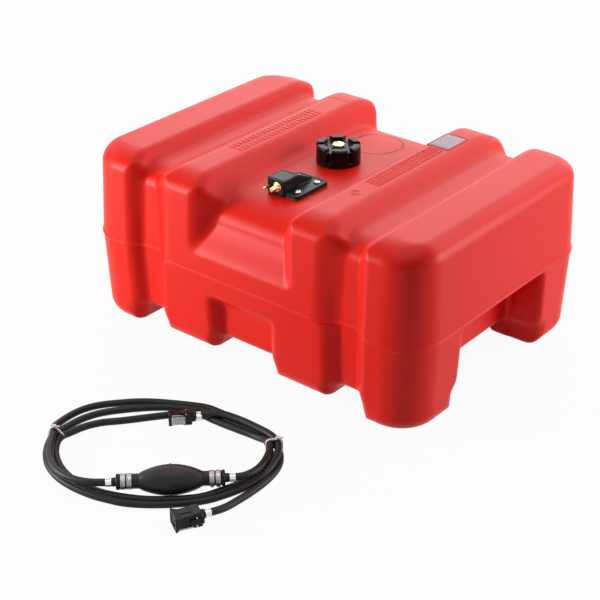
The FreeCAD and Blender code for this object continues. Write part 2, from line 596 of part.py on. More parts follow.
# ---------------------------------------------------------------- withdrawal fitting
def fitting_parts():
    up = Vector(0, 0, 1)
    back = Vector(0, 1, 0)
    x0, x1 = FITTING_X - PLATE_X / 2, FITTING_X + PLATE_X / 2
    y0, y1 = FITTING_Y - PLATE_Y / 2, FITTING_Y + PLATE_Y / 2
    plate_z = FLOOR_Z + PLATE_GASKET
    riser = Vector(FITTING_X + RISER_X, FITTING_Y, 0)
    gasket = soft_box(x0, x1, y0, y1, FLOOR_Z, plate_z, PLATE_CORNER)
    port = rod(Vector(FITTING_X, FITTING_Y, FLOOR_Z - 1), up, TANK_PORT_RADIUS, PLATE_GASKET + 2)
    holes = [
        rod(Vector(x, y, FLOOR_Z - 1), up, SCREW_RADIUS + SCREW_CLEARANCE, 40)
        for x, y in screw_places()
    ]
    save("flange_gasket", gasket.cut(Part.makeCompound([port] + holes)))
    plate = soft_box(x0, x1, y0, y1, plate_z, PLATE_TOP_Z, PLATE_CORNER)
    spigot = rod(Vector(FITTING_X, FITTING_Y, FLOOR_Z - PLUG_DEPTH), up,
                 TANK_PORT_RADIUS - PORT_CLEARANCE, PLUG_DEPTH + PLATE_GASKET + 1)
    block_back = BLOCK_FRONT_Y + BLOCK_Y
    ramp = prism("yz", [
        (block_back + BLOCK_GAP, PLATE_TOP_Z - 1, 0), (block_back + RAMP_LENGTH, PLATE_TOP_Z - 1, 0),
        (block_back + RAMP_LENGTH, PLATE_TOP_Z + 1.5, 0),
        (block_back + BLOCK_GAP, FLOOR_Z + BLOCK_HEIGHT - 1.5, 0),
    ], BLOCK_MID_X - RAMP_WIDTH / 2, BLOCK_MID_X + RAMP_WIDTH / 2)
    flange = fused([plate, spigot, ramp])
    down = rod(riser + up * (FLOOR_Z - PLUG_DEPTH - 1), up, FUEL_PASSAGE,
               NIPPLE_AXIS_Z - FLOOR_Z + PLUG_DEPTH + 1)
    across = rod(Vector(riser.x, block_back - 1, NIPPLE_AXIS_Z), back, FUEL_PASSAGE,
                 riser.y - block_back + 1)
    socket = rod(riser + up * (FLOOR_Z - PLUG_DEPTH - 1), up, PICKUP_RADIUS, PICKUP_SOCKET + 1)
    heads = [rod(Vector(x, y, PLATE_TOP_Z), up, SCREW_HEAD_RADIUS + 1.0, 30)
             for x, y in screw_places() if y > block_back and x < FITTING_X]
    flange = flange.cut(Part.makeCompound([down, across, socket] + holes + heads))
    save("connector_flange", flange)
    connector_block(riser, block_back)
    screws, inserts = [], []
    for x, y in screw_places():
        head = rod(Vector(x, y, PLATE_TOP_Z), up, SCREW_HEAD_RADIUS, SCREW_HEAD_HEIGHT)
        head = head.makeFillet(1.6, [head.Edges[0]])
        shank_base = Vector(x, y, PLATE_TOP_Z - SCREW_LENGTH)
        screw = head.fuse(rod(shank_base, up, SCREW_RADIUS, SCREW_LENGTH))
        for turn in (0, 90):
            cross = box(-0.7, 0.7, -3, 3, SCREW_HEAD_HEIGHT - 1.4, SCREW_HEAD_HEIGHT + 1)
            cross.rotate(Vector(0, 0, 0), up, turn)
            cross.translate(Vector(x, y, PLATE_TOP_Z))
            screw = screw.cut(cross)
        screws.append(screw)
        inserts.append(pipe(Vector(x, y, FLOOR_Z - INSERT_LENGTH), up, INSERT_RADIUS,
                            SCREW_RADIUS, INSERT_LENGTH))
    save("flange_screws", Part.makeCompound(screws))
    save("threaded_inserts", Part.makeCompound(inserts))
    filter_z = TANK_INSIDE_Z + FILTER_LIFT
    tube_low = filter_z + FILTER_LENGTH - PICKUP_SOCKET
    tube_top = FLOOR_Z - PLUG_DEPTH + PICKUP_SOCKET
    save("pickup_tube", pipe(riser + up * tube_low, up, PICKUP_RADIUS, PICKUP_BORE,
                             tube_top - tube_low))
    strainer = rod(riser + up * filter_z, up, FILTER_RADIUS, FILTER_LENGTH)
    hollow = rod(riser + up * (filter_z + 2), up, FILTER_RADIUS - 2, FILTER_LENGTH - PICKUP_SOCKET - 2)
    seat = rod(riser + up * (filter_z + 2), up, PICKUP_RADIUS, FILTER_LENGTH)
    windows = []
    for i in range(6):
        window = box(0, FILTER_RADIUS + 1, -2, 2, 4, FILTER_LENGTH - PICKUP_SOCKET - 2)
        window.rotate(Vector(0, 0, 0), up, 60 * i)
        window.translate(riser + up * filter_z)
        windows.append(window)
    save("pickup_filter", strainer.cut(Part.makeCompound([hollow, seat] + windows)))


def connector_block(riser, block_back):
    """The moulded block that carries the brass nipple and the locating pin."""
    front = Vector(0, -1, 0)
    x0, x1 = BLOCK_MID_X - BLOCK_X / 2, BLOCK_MID_X + BLOCK_X / 2
    top = FLOOR_Z + BLOCK_HEIGHT
    solid = prism("yz", [
        (BLOCK_FRONT_Y, FLOOR_Z + 0.6, 0), (block_back, FLOOR_Z + 0.6, 0),
        (block_back, top, 2.0), (BLOCK_FRONT_Y + 2.0, top, 3.0),
    ], x0, x1)
    rounding = soft_box(x0, x1, BLOCK_FRONT_Y, block_back, FLOOR_Z, top + 1, BLOCK_CHAMFER)
    solid = solid.common(rounding)
    plate_room = box(
        FITTING_X - PLATE_X / 2 - BLOCK_GAP, x1 + 1, FITTING_Y - PLATE_Y / 2 - BLOCK_GAP,
        block_back + 1, FLOOR_Z - 1, PLATE_TOP_Z,
    )
    head_rooms = [
        rod(Vector(x, y, PLATE_TOP_Z - 1), Vector(0, 0, 1), SCREW_HEAD_RADIUS + 0.4,
            SCREW_HEAD_HEIGHT + 1.4)
        for x, y in screw_places() if y < block_back
    ]
    nipple_at = Vector(riser.x, BLOCK_FRONT_Y, NIPPLE_AXIS_Z)
    bore = rod(nipple_at - front * NIPPLE_SINK, front, NIPPLE_RADIUS, NIPPLE_SINK + 1)
    passage = rod(Vector(riser.x, block_back + 1, NIPPLE_AXIS_Z), front, FUEL_PASSAGE, BLOCK_Y)
    pin_at = nipple_at - Vector(PIN_OFFSET, 0, 0)
    pin_hole = rod(pin_at - front * PIN_SINK, front, PIN_RADIUS, PIN_SINK + 1)
    cuts = Part.makeCompound([plate_room, bore, passage, pin_hole] + head_rooms)
    save("connector_block", solid.cut(cuts))
    save("locating_pin", lathe([
        (0, 0), (PIN_RADIUS, 0), (PIN_RADIUS, PIN_SINK + PIN_LENGTH - 2.5),
        (PIN_RADIUS * 0.45, PIN_SINK + PIN_LENGTH), (0, PIN_SINK + PIN_LENGTH),
    ], pin_at - front * PIN_SINK, front))
    total = NIPPLE_SINK + NIPPLE_LENGTH
    collar0 = NIPPLE_SINK
    groove = total - 6.0
    nipple = lathe([
        (NIPPLE_BORE, 0), (NIPPLE_RADIUS, 0), (NIPPLE_RADIUS, collar0),
        (NIPPLE_COLLAR_RADIUS, collar0), (NIPPLE_COLLAR_RADIUS, collar0 + NIPPLE_COLLAR),
        (NIPPLE_RADIUS, collar0 + NIPPLE_COLLAR), (NIPPLE_RADIUS, groove - 1.5),
        (NIPPLE_RADIUS - 0.7, groove - 0.8), (NIPPLE_RADIUS - 0.7, groove + 0.8),
        (NIPPLE_RADIUS, groove + 1.5), (NIPPLE_RADIUS, total - 1.2),
        (NIPPLE_RADIUS - 1.2, total), (NIPPLE_SEAT, total), (NIPPLE_SEAT, total - 2.0),
        (NIPPLE_BORE, total - 2.0),
    ], nipple_at - front * NIPPLE_SINK, front)
    save("fuel_nipple", nipple)
    poppet_tip = nipple_at + front * (NIPPLE_LENGTH - 2.0 - POPPET_CLEARANCE)
    stem = NIPPLE_SEAT - 4 * POPPET_CLEARANCE
    tail = poppet_tip - front * POPPET_LENGTH
    poppet = rod(tail, front, NIPPLE_BORE - POPPET_CLEARANCE, POPPET_LENGTH)
    poppet = poppet.fuse(rod(poppet_tip - front, front, stem, 2.6))
    save("nipple_poppet", poppet.cut(rod(tail, front, POPPET_CUP_RADIUS, POPPET_CUP_DEPTH)))
    reach = POPPET_CUP_DEPTH - POPPET_TRAVEL - POPPET_CLEARANCE
    spring_at = tail + front * (reach - NIPPLE_SPRING_LENGTH)
    save("nipple_spring", spring(spring_at, front, POPPET_SPRING_RADIUS, NIPPLE_SPRING_LENGTH, 6))


def spring(base, direction, radius, length, turns):
    """A compression spring with one end flat on base."""
    height = length - SPRING_WIRE
    wire = Part.Wire(Part.makeHelix(height / turns, height, radius).Edges)
    start = Vector(radius, 0, 0)
    circle = Part.Circle(start, Vector(0, 1, 0.1), SPRING_WIRE / 2).toShape()
    coil = wire.makePipeShell([Part.Wire(circle)], True, True)
    coil.translate(Vector(0, 0, SPRING_WIRE / 2))
    coil.Placement = FreeCAD.Placement(base, Rotation(Vector(0, 0, 1), direction)).multiply(
        coil.Placement)
    return coil


def label_plate():
    return soft_box(
        LABEL_X - LABEL_SIZE_X / 2, LABEL_X + LABEL_SIZE_X / 2, LABEL_Y - LABEL_SIZE_Y / 2,
        LABEL_Y + LABEL_SIZE_Y / 2, HEIGHT, HEIGHT + LABEL_THICKNESS, 2.0,
    )


# ---------------------------------------------------------------- fuel line
def heading(angle):
    return Vector(math.cos(math.radians(angle)), math.sin(math.radians(angle)), 0)


def primer_parts():
    """The primer bulb with a one-way valve at each end; returns the outlet's place."""
    along = heading(BULB_ANGLE)
    body_start = BARB_BASE + VALVE_SHOULDER + 2 * BAND_WIDTH + BAND_GAP + BULB_SLEEVE
    total = 2 * body_start + BULB_LENGTH
    steps = 12
    outside, inside = [], []
    for i in range(steps + 1):
        bulge = math.sin(math.pi * i / steps) ** 0.8
        radius = BULB_END_RADIUS + (BULB_RADIUS - BULB_END_RADIUS) * bulge
        at = body_start + BULB_LENGTH * i / steps
        outside.append((radius, at))
        inside.append((max(radius - BULB_WALL, VALVE_RADIUS), at))
    low = VALVE_SHOULDER + BARB_BASE
    high = total - low
    profile = [(BULB_SLEEVE_RADIUS, low), (BULB_SLEEVE_RADIUS, body_start)] + outside
    profile += [(BULB_SLEEVE_RADIUS, total - body_start), (BULB_SLEEVE_RADIUS, high)]
    profile += [(VALVE_RADIUS, high)] + list(reversed(inside)) + [(VALVE_RADIUS, low)]
    bulb = lathe(profile, BULB_START, along)
    ridge = pipe(BULB_START + along * ((total - BULB_RIDGE_WIDTH) / 2), along,
                 BULB_RADIUS + BULB_RIDGE, BULB_RADIUS - BULB_WALL / 2, BULB_RIDGE_WIDTH)
    save("primer_bulb", bulb.fuse(ridge))
    bands = []
    far_end = BULB_START + along * total
    for origin, way in ((BULB_START, along), (far_end, along * -1)):
        for k in range(2):
            at = low + BAND_GAP / 2 + k * (BAND_WIDTH + BAND_GAP)
            bands.append(pipe(origin + way * at, way, BULB_SLEEVE_RADIUS + BAND_THICKNESS,
                              BULB_SLEEVE_RADIUS, BAND_WIDTH))
    save("bulb_bands", Part.makeCompound(bands))
    chamber = VALVE_LENGTH - VALVE_LIP
    play = FLAP_CLEARANCE / 2
    valve("inlet_valve", BULB_START, along, chamber - VALVE_CHAMBER + play)
    valve("outlet_valve", far_end, along * -1, chamber - FLAP_THICKNESS - play)
    return far_end, along


def valve(name, origin, way, flap_at):
    """A one-way valve body with a hose barb; way points into the bulb."""
    bore = BARB_RADIUS - BARB_WALL
    chamber = VALVE_RADIUS - VALVE_WALL
    lip = VALVE_LENGTH - VALVE_LIP
    body = lathe([
        (bore, -BARB_LENGTH), (BARB_RADIUS, -BARB_LENGTH), (BARB_RADIUS, 0),
        (BARB_BASE_RADIUS, 0), (BARB_BASE_RADIUS, BARB_BASE), (VALVE_SHOULDER_RADIUS, BARB_BASE),
        (VALVE_SHOULDER_RADIUS, BARB_BASE + VALVE_SHOULDER),
        (VALVE_RADIUS, BARB_BASE + VALVE_SHOULDER), (VALVE_RADIUS, VALVE_LENGTH),
        (BARB_RADIUS, VALVE_LENGTH), (BARB_RADIUS, lip), (chamber, lip),
        (chamber, lip - VALVE_CHAMBER), (bore, lip - VALVE_CHAMBER),
    ], origin, way)
    save(name, body)
    flap = rod(origin + way * flap_at, way, chamber - FLAP_CLEARANCE, FLAP_THICKNESS)
    save(name + "_flap", flap)


def clamp_ring(at, way):
    """A crimped hose clamp with its ear on top; way is level and leads along the hose."""
    outer = HOSE_RADIUS + CLAMP_THICKNESS
    ring = pipe(at, way, outer, HOSE_RADIUS, CLAMP_WIDTH)
    half = CLAMP_WIDTH / 2 - 1
    ear = box(-half, half, -CLAMP_EAR / 2, CLAMP_EAR / 2, outer - 0.2, outer + CLAMP_EAR / 2)
    ear.rotate(Vector(0, 0, 0), Vector(0, 0, 1), math.degrees(math.atan2(way.y, way.x)))
    ear.translate(at + way * (CLAMP_WIDTH / 2))
    return ring.fuse(ear)


def connector(name, at, angle, size, roll, pin_port):
    """A push-on hose connector lying on the floor, its mouth turned from the hose.

    Returns the place where the hose starts, its heading and the housing's placement.
    """
    length, width, height = size
    half, tall = width / 2, height / 2
    to_hose = Vector(1, 0, 0)
    mouth = -length / 2
    rise = half if roll else tall
    place = FreeCAD.Placement(at + Vector(0, 0, rise), Rotation(Vector(0, 0, 1), angle))
    place = place.multiply(FreeCAD.Placement(Vector(0, 0, 0), Rotation(to_hose, roll)))

    def put(node, shape):
        moved = shape.copy()
        moved.Placement = place.multiply(shape.Placement)
        save(name + node, moved)

    body = soft_box(mouth, -mouth, -half, half, -tall, tall, CONNECTOR_EDGE)
    rim_side = half if roll else half + CONNECTOR_RIM
    rim = soft_box(mouth, mouth + CONNECTOR_RIM_LENGTH, -rim_side, half, -tall,
                   tall + CONNECTOR_RIM, 1.0)
    barb_start = length / 2 + CONNECTOR_COLLAR
    collar = rod(Vector(length / 2 - 1, 0, 0), to_hose, CONNECTOR_COLLAR_RADIUS,
                 CONNECTOR_COLLAR + 1)
    barb = rod(Vector(barb_start - 1, 0, 0), to_hose, BARB_RADIUS, BARB_LENGTH * 0.6 + 1)
    port_y = -PIN_OFFSET / 2 if pin_port else 0.0
    port_radius = NIPPLE_RADIUS + PORT_CLEARANCE_RADIAL
    port_at = Vector(mouth, port_y, 0)
    cuts = [
        rod(port_at - to_hose, to_hose, port_radius, PORT_SINK + 1),
        rod(port_at + to_hose * SEAL_DEPTH, to_hose, port_radius + SEAL_DEEP, SEAL_THICKNESS),
        rod(port_at, to_hose, OUTLET_BORE, length - OUTLET_BORE - 2.0),
        rod(Vector(-mouth - 2 * OUTLET_BORE - 2.0, 0, 0), to_hose, OUTLET_BORE, length),
    ]
    if pin_port:
        guide = port_at + Vector(-1, PIN_OFFSET, 0)
        cuts.append(rod(guide, to_hose, PIN_RADIUS + GUIDE_CLEARANCE, PORT_SINK))
        link = Vector(-mouth - OUTLET_BORE - 2.0, port_y - OUTLET_BORE, 0)
        cuts.append(rod(link, Vector(0, 1, 0), OUTLET_BORE, OUTLET_BORE - port_y))
    lever_x = -mouth - LEVER_LENGTH
    lever_half = LEVER_WIDTH / 2
    room = lever_half + LEVER_ROOM
    cuts.append(box(lever_x - LEVER_ROOM, -mouth + 1, -half - 4, -half + LEVER_SWING_ROOM,
                    -room, room))
    pin_length = 2 * room + 4.0
    pin_at = Vector(lever_x + LEVER_LENGTH / 2, -half + LEVER_THICKNESS / 4, -pin_length / 2)
    up = Vector(0, 0, 1)
    hub_at = pin_at + up * (pin_length / 2 - lever_half)
    pin = rod(pin_at, up, LEVER_PIN_RADIUS, pin_length)
    hub_room = rod(hub_at - up * LEVER_ROOM, up, LEVER_HUB_RADIUS + LEVER_ROOM, 2 * room)
    cuts += [pin, hub_room]
    put("_body", fused([body, rim, collar, barb]).cut(Part.makeCompound(cuts)))
    lever = box(lever_x, -mouth + LEVER_TAIL, -half - LEVER_STANDOFF,
                -half - LEVER_STANDOFF + LEVER_THICKNESS, -lever_half, lever_half)
    hub = rod(hub_at, up, LEVER_HUB_RADIUS, LEVER_WIDTH)
    eye = rod(pin_at, up, LEVER_PIN_RADIUS + LEVER_PIN_CLEARANCE, pin_length)
    put("_lever", fused([lever, hub]).cut(eye))
    put("_lever_pin", pin)
    seal_at = port_at + to_hose * SEAL_DEPTH
    put("_seal", pipe(seal_at, to_hose, port_radius + SEAL_DEEP, port_radius + SEAL_CLEARANCE,
                      SEAL_THICKNESS))
    pivot = place.multVec(pin_at + up * (pin_length / 2))
    print(f"{name}: lever pivot {pivot}, axis {place.Rotation.multVec(up)}, "
          f"mouth {place.multVec(port_at)}")
    return place.multVec(Vector(barb_start, 0, 0)), place.Rotation.multVec(to_hose), place


def hose_tube(name, points):
    """A hose along straight runs joined by arcs as large as the runs allow."""
    radii = [0.0]
    for i in range(1, len(points) - 1):
        before = points[i - 1] - points[i]
        after = points[i + 1] - points[i]
        turn = math.pi - before.getAngle(after)
        radii.append(0.45 * min(before.Length, after.Length) / math.tan(turn / 2))
    radii.append(0.0)
    spine = Part.Wire(rounded_path(points, radii, False))
    ring = Part.Wire(Part.Circle(points[0], points[1] - points[0], HOSE_RADIUS).toShape())
    tube = spine.makePipeShell([ring], True, True)
    expected = math.pi * HOSE_RADIUS ** 2 * spine.Length
    print(f"{name}: radii {[round(r) for r in radii[1:-1]]}, length {spine.Length:.0f}, "
          f"volume ratio {tube.Volume / expected:.4f}")
    save(name, tube)


def tied(shape, spot):
    """Move a shape drawn across the turns to the place of a tie."""
    x, y, angle, _ = spot
    shape.rotate(Vector(0, 0, 0), Vector(0, 0, 1), angle)
    shape.translate(Vector(x, y, 0))
    return shape


def tie_block(width, inset, thickness):
    """The space inside a tie, or the tie's own outside with no inset."""
    half = width / 2 - inset
    low, high = inset, COIL_HEIGHT + TIE_THICKNESS - inset
    return prism("xz", [
        (-half, low, TIE_CORNER), (half, low, TIE_CORNER), (half, high, TIE_CORNER),
        (-half, high, TIE_CORNER),
    ], -thickness / 2, thickness / 2)


def coil_parts():
    """The outer shape of the tied turns, one layer all round and two where they stack."""
    ring = prism("xy", COIL_OUTSIDE, 0, COIL_LAYER)
    ring = ring.cut(prism("xy", COIL_INSIDE, -1, COIL_LAYER + 1))
    stack = prism("xy", COIL_OUTSIDE, COIL_LAYER, COIL_HEIGHT)
    stack = stack.cut(prism("xy", COIL_INSIDE, COIL_LAYER - 1, COIL_HEIGHT + 1))
    far = LENGTH
    left = box(-far, STACKED_LEFT[0], -2 * far, STACKED_LEFT[1], 0, COIL_HEIGHT)
    right = box(STACKED_RIGHT[0], far, STACKED_RIGHT[1], 0, 0, COIL_HEIGHT)
    coil = ring.fuse(stack.common(Part.makeCompound([left, right])))
    ties = []
    for spot in (LEFT_TIE, RIGHT_TIE):
        width = spot[3]
        slab = box(-width, width, -TIE_WIDTH / 2, TIE_WIDTH / 2, -1, 2 * COIL_HEIGHT)
        coil = coil.cut(tied(slab, spot))
        coil = coil.fuse(tied(tie_block(width, TIE_THICKNESS, TIE_WIDTH), spot))
        narrow = TIE_WIDTH - 2 * TIE_GAP
        band = tie_block(width, 0.0, narrow).cut(tie_block(width, TIE_THICKNESS, 2 * TIE_WIDTH))
        ties.append(tied(band, spot))
    save("hose_coil", coil.removeSplitter())
    save("coil_ties", Part.makeCompound(ties))


def fuel_line():
    outlet, along = primer_parts()
    tank_hose, tank_way, _ = connector("tank_connector", TANK_CONNECTOR_AT,
                                       TANK_CONNECTOR_ANGLE, TANK_CONNECTOR, 0.0, True)
    engine_hose, engine_way, engine_place = connector(
        "engine_connector", ENGINE_CONNECTOR_AT, ENGINE_CONNECTOR_ANGLE, ENGINE_CONNECTOR,
        -90.0, False)
    length, width, height = ENGINE_CONNECTOR
    tag = box(-length / 2 + CONNECTOR_RIM_LENGTH + 1, -length / 2 + TAG_LENGTH + 5,
              -width / 2 + CONNECTOR_EDGE, width / 2 - CONNECTOR_EDGE,
              -height / 2 - TAG_THICKNESS, -height / 2)
    tag.Placement = engine_place.multiply(tag.Placement)
    save("blank_tag", tag)
    save("hose_clamps", Part.makeCompound([
        clamp_ring(BULB_START - along, along * -1), clamp_ring(outlet + along, along),
        clamp_ring(tank_hose + tank_way, tank_way),
        clamp_ring(engine_hose + engine_way, engine_way),
    ]))
    coil_parts()
    hose_tube("bulb_inlet_hose", [BULB_START] + [Vector(*p) for p in INLET_ROUTE])
    hose_tube("bulb_outlet_hose", [outlet] + [Vector(*p) for p in OUTLET_ROUTE])
    hose_tube("tank_lead", [tank_hose] + [Vector(*p) for p in TANK_LEAD])
    hose_tube("engine_lead", [engine_hose] + [Vector(*p) for p in ENGINE_LEAD])


os.makedirs("parts", exist_ok=True)
save("tank_shell", tank_shell())
cap_parts()
fitting_parts()
save("label_plate", label_plate())
fuel_line()
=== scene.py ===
"""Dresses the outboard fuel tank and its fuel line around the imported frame."""

import logging
import math
from dataclasses import dataclass, field
from enum import Enum
from functools import lru_cache
from typing import Callable, Dict, List, Optional, Sequence, Tuple, Union

import bmesh
import bpy
import numpy as np
from mathutils import Matrix, Vector


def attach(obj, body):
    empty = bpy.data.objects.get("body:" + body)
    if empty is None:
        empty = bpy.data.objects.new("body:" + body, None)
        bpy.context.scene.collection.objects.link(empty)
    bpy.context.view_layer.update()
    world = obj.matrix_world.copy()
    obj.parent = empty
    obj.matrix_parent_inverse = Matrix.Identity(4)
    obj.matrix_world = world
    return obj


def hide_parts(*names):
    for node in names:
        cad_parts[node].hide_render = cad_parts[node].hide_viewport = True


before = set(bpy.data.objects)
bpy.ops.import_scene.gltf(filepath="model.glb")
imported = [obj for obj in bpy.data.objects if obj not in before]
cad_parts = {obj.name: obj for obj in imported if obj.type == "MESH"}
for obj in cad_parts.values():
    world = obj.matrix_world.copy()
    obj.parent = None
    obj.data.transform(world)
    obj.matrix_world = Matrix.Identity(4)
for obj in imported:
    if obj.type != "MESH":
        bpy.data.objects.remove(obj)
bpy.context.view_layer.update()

log = logging.getLogger("fuel_tank")

MM = 0.001
SHARP_EDGE = math.radians(35.0)
Grid = np.ndarray
Pair = Tuple[float, float]
Point = Tuple[float, float, float]
Colour = Tuple[float, float, float]
Corners = Sequence[Tuple[float, float, float]]
Faces = List[Tuple[int, ...]]
Field = Callable[[Grid, Grid, Grid], Grid]
Value = Union["Sock", float, Tuple[float, ...]]


# ---------------------------------------------------------------- shader graphs
def both_ways(operation: str) -> Tuple[Callable[..., "Sock"], Callable[..., "Sock"]]:
    """An operator on sockets and its reflected form, each adding one Math node."""

    def plain(self: "Sock", other: Value) -> "Sock":
        """The socket stands on the left."""
        return self.math(operation, self, other)

    def reflected(self: "Sock", other: Value) -> "Sock":
        """The socket stands on the right."""
        return self.math(operation, other, self)

    return plain, reflected


class Sock:
    """One output of a shader graph, used in sums like a number."""

    __add__, __radd__ = both_ways("ADD")
    __sub__, __rsub__ = both_ways("SUBTRACT")
    __mul__, __rmul__ = both_ways("MULTIPLY")
    __truediv__, __rtruediv__ = both_ways("DIVIDE")
    __pow__, __rpow__ = both_ways("POWER")

    def __init__(self, graph: "Graph", socket: bpy.types.NodeSocket) -> None:
        """Remember the socket and the graph that it belongs to."""
        self.graph = graph
        self.socket = socket

    def math(self, operation: str, *values: Value) -> "Sock":
        """Add one Math node with these values on its inputs."""
        return self.graph.node("ShaderNodeMath", {"operation": operation}, dict(enumerate(values)))

    def __abs__(self) -> "Sock":
        """Size of a value without its sign."""
        return self.math("ABSOLUTE", self)

    def larger(self, other: Value) -> "Sock":
        """The larger of two values."""
        return self.math("MAXIMUM", self, other)

    def fraction(self) -> "Sock":
        """What is left above the whole number."""
        return self.math("FRACT", self)

    def bearing(self, across: "Sock") -> "Sock":
        """Angle of the point (across, self), in radians."""
        return self.math("ARCTAN2", self, across)

    def rise(self, low: float, high: float) -> "Sock":
        """Go smoothly from 0 at low to 1 at high."""
        return self.graph.node(
            "ShaderNodeMapRange", {"interpolation_type": "SMOOTHSTEP"},
            {"Value": self, "From Min": low, "From Max": high},
        )

    def within(self, low: float, high: float, soft: float = 0.001) -> "Sock":
        """1 between low and high, fading to 0 over soft outside them."""
        return self.rise(low - soft, low) * (1 - self.rise(high, high + soft))

    def other(self, output: str) -> "Sock":
        """Another output of the same node."""
        return Sock(self.graph, self.socket.node.outputs[output])


class Graph:
    """The node tree of one material or of the world."""

    def __init__(self, owner: Union[bpy.types.Material, bpy.types.World]) -> None:
        """Start with an empty tree."""
        owner.use_nodes = True
        self.owner = owner
        self.tree = owner.node_tree
        self.tree.nodes.clear()

    def node(
        self,
        kind: str,
        settings: Optional[Dict[str, object]] = None,
        sockets: Optional[Dict[Union[int, str], Value]] = None,
        output: Union[int, str] = 0,
    ) -> Optional[Sock]:
        """Add a node.

        Args:
            kind: Blender's name of the node type.
            settings: its properties, set first; "stops" are a ramp's (place, colour) pairs.
            sockets: values or links for its inputs, by name or number.
            output: the output to return.

        Returns:
            That output, or None for a node that has none.
        """
        made = self.tree.nodes.new(kind)
        for name, value in (settings or {}).items():
            if name == "stops":
                self._set_stops(made.color_ramp, value)
            else:
                setattr(made, name, value)
        for key, value in (sockets or {}).items():
            if isinstance(value, Sock):
                self.tree.links.new(value.socket, made.inputs[key])
            else:
                made.inputs[key].default_value = value
        return Sock(self, made.outputs[output]) if len(made.outputs) else None

    @staticmethod
    def _set_stops(ramp: bpy.types.ColorRamp, stops: Sequence[Tuple[float, Colour]]) -> None:
        """Give a colour ramp these stops."""
        while len(ramp.elements) < len(stops):
            ramp.elements.new(0.5)
        for element, (place, colour) in zip(ramp.elements, stops):
            element.position = place
            element.color = (*colour, 1.0)

    def place(self) -> Sock:
        """Where the shaded point is on the piece, in metres."""
        return self.node("ShaderNodeTexCoord", output="Object")

    def axes(self, vector: Sock) -> Tuple[Sock, Sock, Sock]:
        """The three parts of a vector."""
        x = self.node("ShaderNodeSeparateXYZ", {}, {0: vector}, "X")
        return x, x.other("Y"), x.other("Z")

    def vector(self, operation: str, first: Value, second: Value) -> Sock:
        """One Vector Math node."""
        return self.node("ShaderNodeVectorMath", {"operation": operation}, {0: first, 1: second})

    def noise(self, at: Sock, scale: float, detail: float = 2.0, rough: float = 0.5) -> Sock:
        """Soft noise from 0 to 1."""
        values = {"Vector": at, "Scale": scale, "Detail": detail, "Roughness": rough}
        return self.node("ShaderNodeTexNoise", {}, values)

    def mix(self, factor: Value, first: Value, second: Value) -> Sock:
        """Blend two colours; a plain colour has three parts."""
        ends = [c if isinstance(c, Sock) else (*c, 1.0) for c in (first, second)]
        values = {0: factor, 6: ends[0], 7: ends[1]}
        return self.node("ShaderNodeMix", {"data_type": "RGBA"}, values, 2)

    def edges(self, low: float = 0.505, high: float = 0.56) -> Sock:
        """1 on outward edges of the piece, 0 on flat and hollow places."""
        return self.node("ShaderNodeNewGeometry", output="Pointiness").rise(low, high)

    def bump(self, height: Sock) -> Sock:
        """A surface normal from a height in metres."""
        return self.node("ShaderNodeBump", {}, {"Strength": 1.0, "Distance": 1.0, "Height": height})

    def looked_at(self) -> Sock:
        """1 for rays from the camera, off a glossy surface or through glass, else 0."""
        path = self.node("ShaderNodeLightPath", output="Is Camera Ray")
        return path.larger(path.other("Is Glossy Ray")).larger(path.other("Is Transmission Ray"))

    def shaded(self, shader: Sock) -> bpy.types.Material:
        """Send a shader to the material's output and return the material."""
        self.node("ShaderNodeOutputMaterial", {}, {"Surface": shader})
        return self.owner

    def surface(self, sockets: Dict[Union[int, str], Value]) -> bpy.types.Material:
        """Finish with one Principled shader and return the material."""
        return self.shaded(self.node("ShaderNodeBsdfPrincipled", {}, sockets))


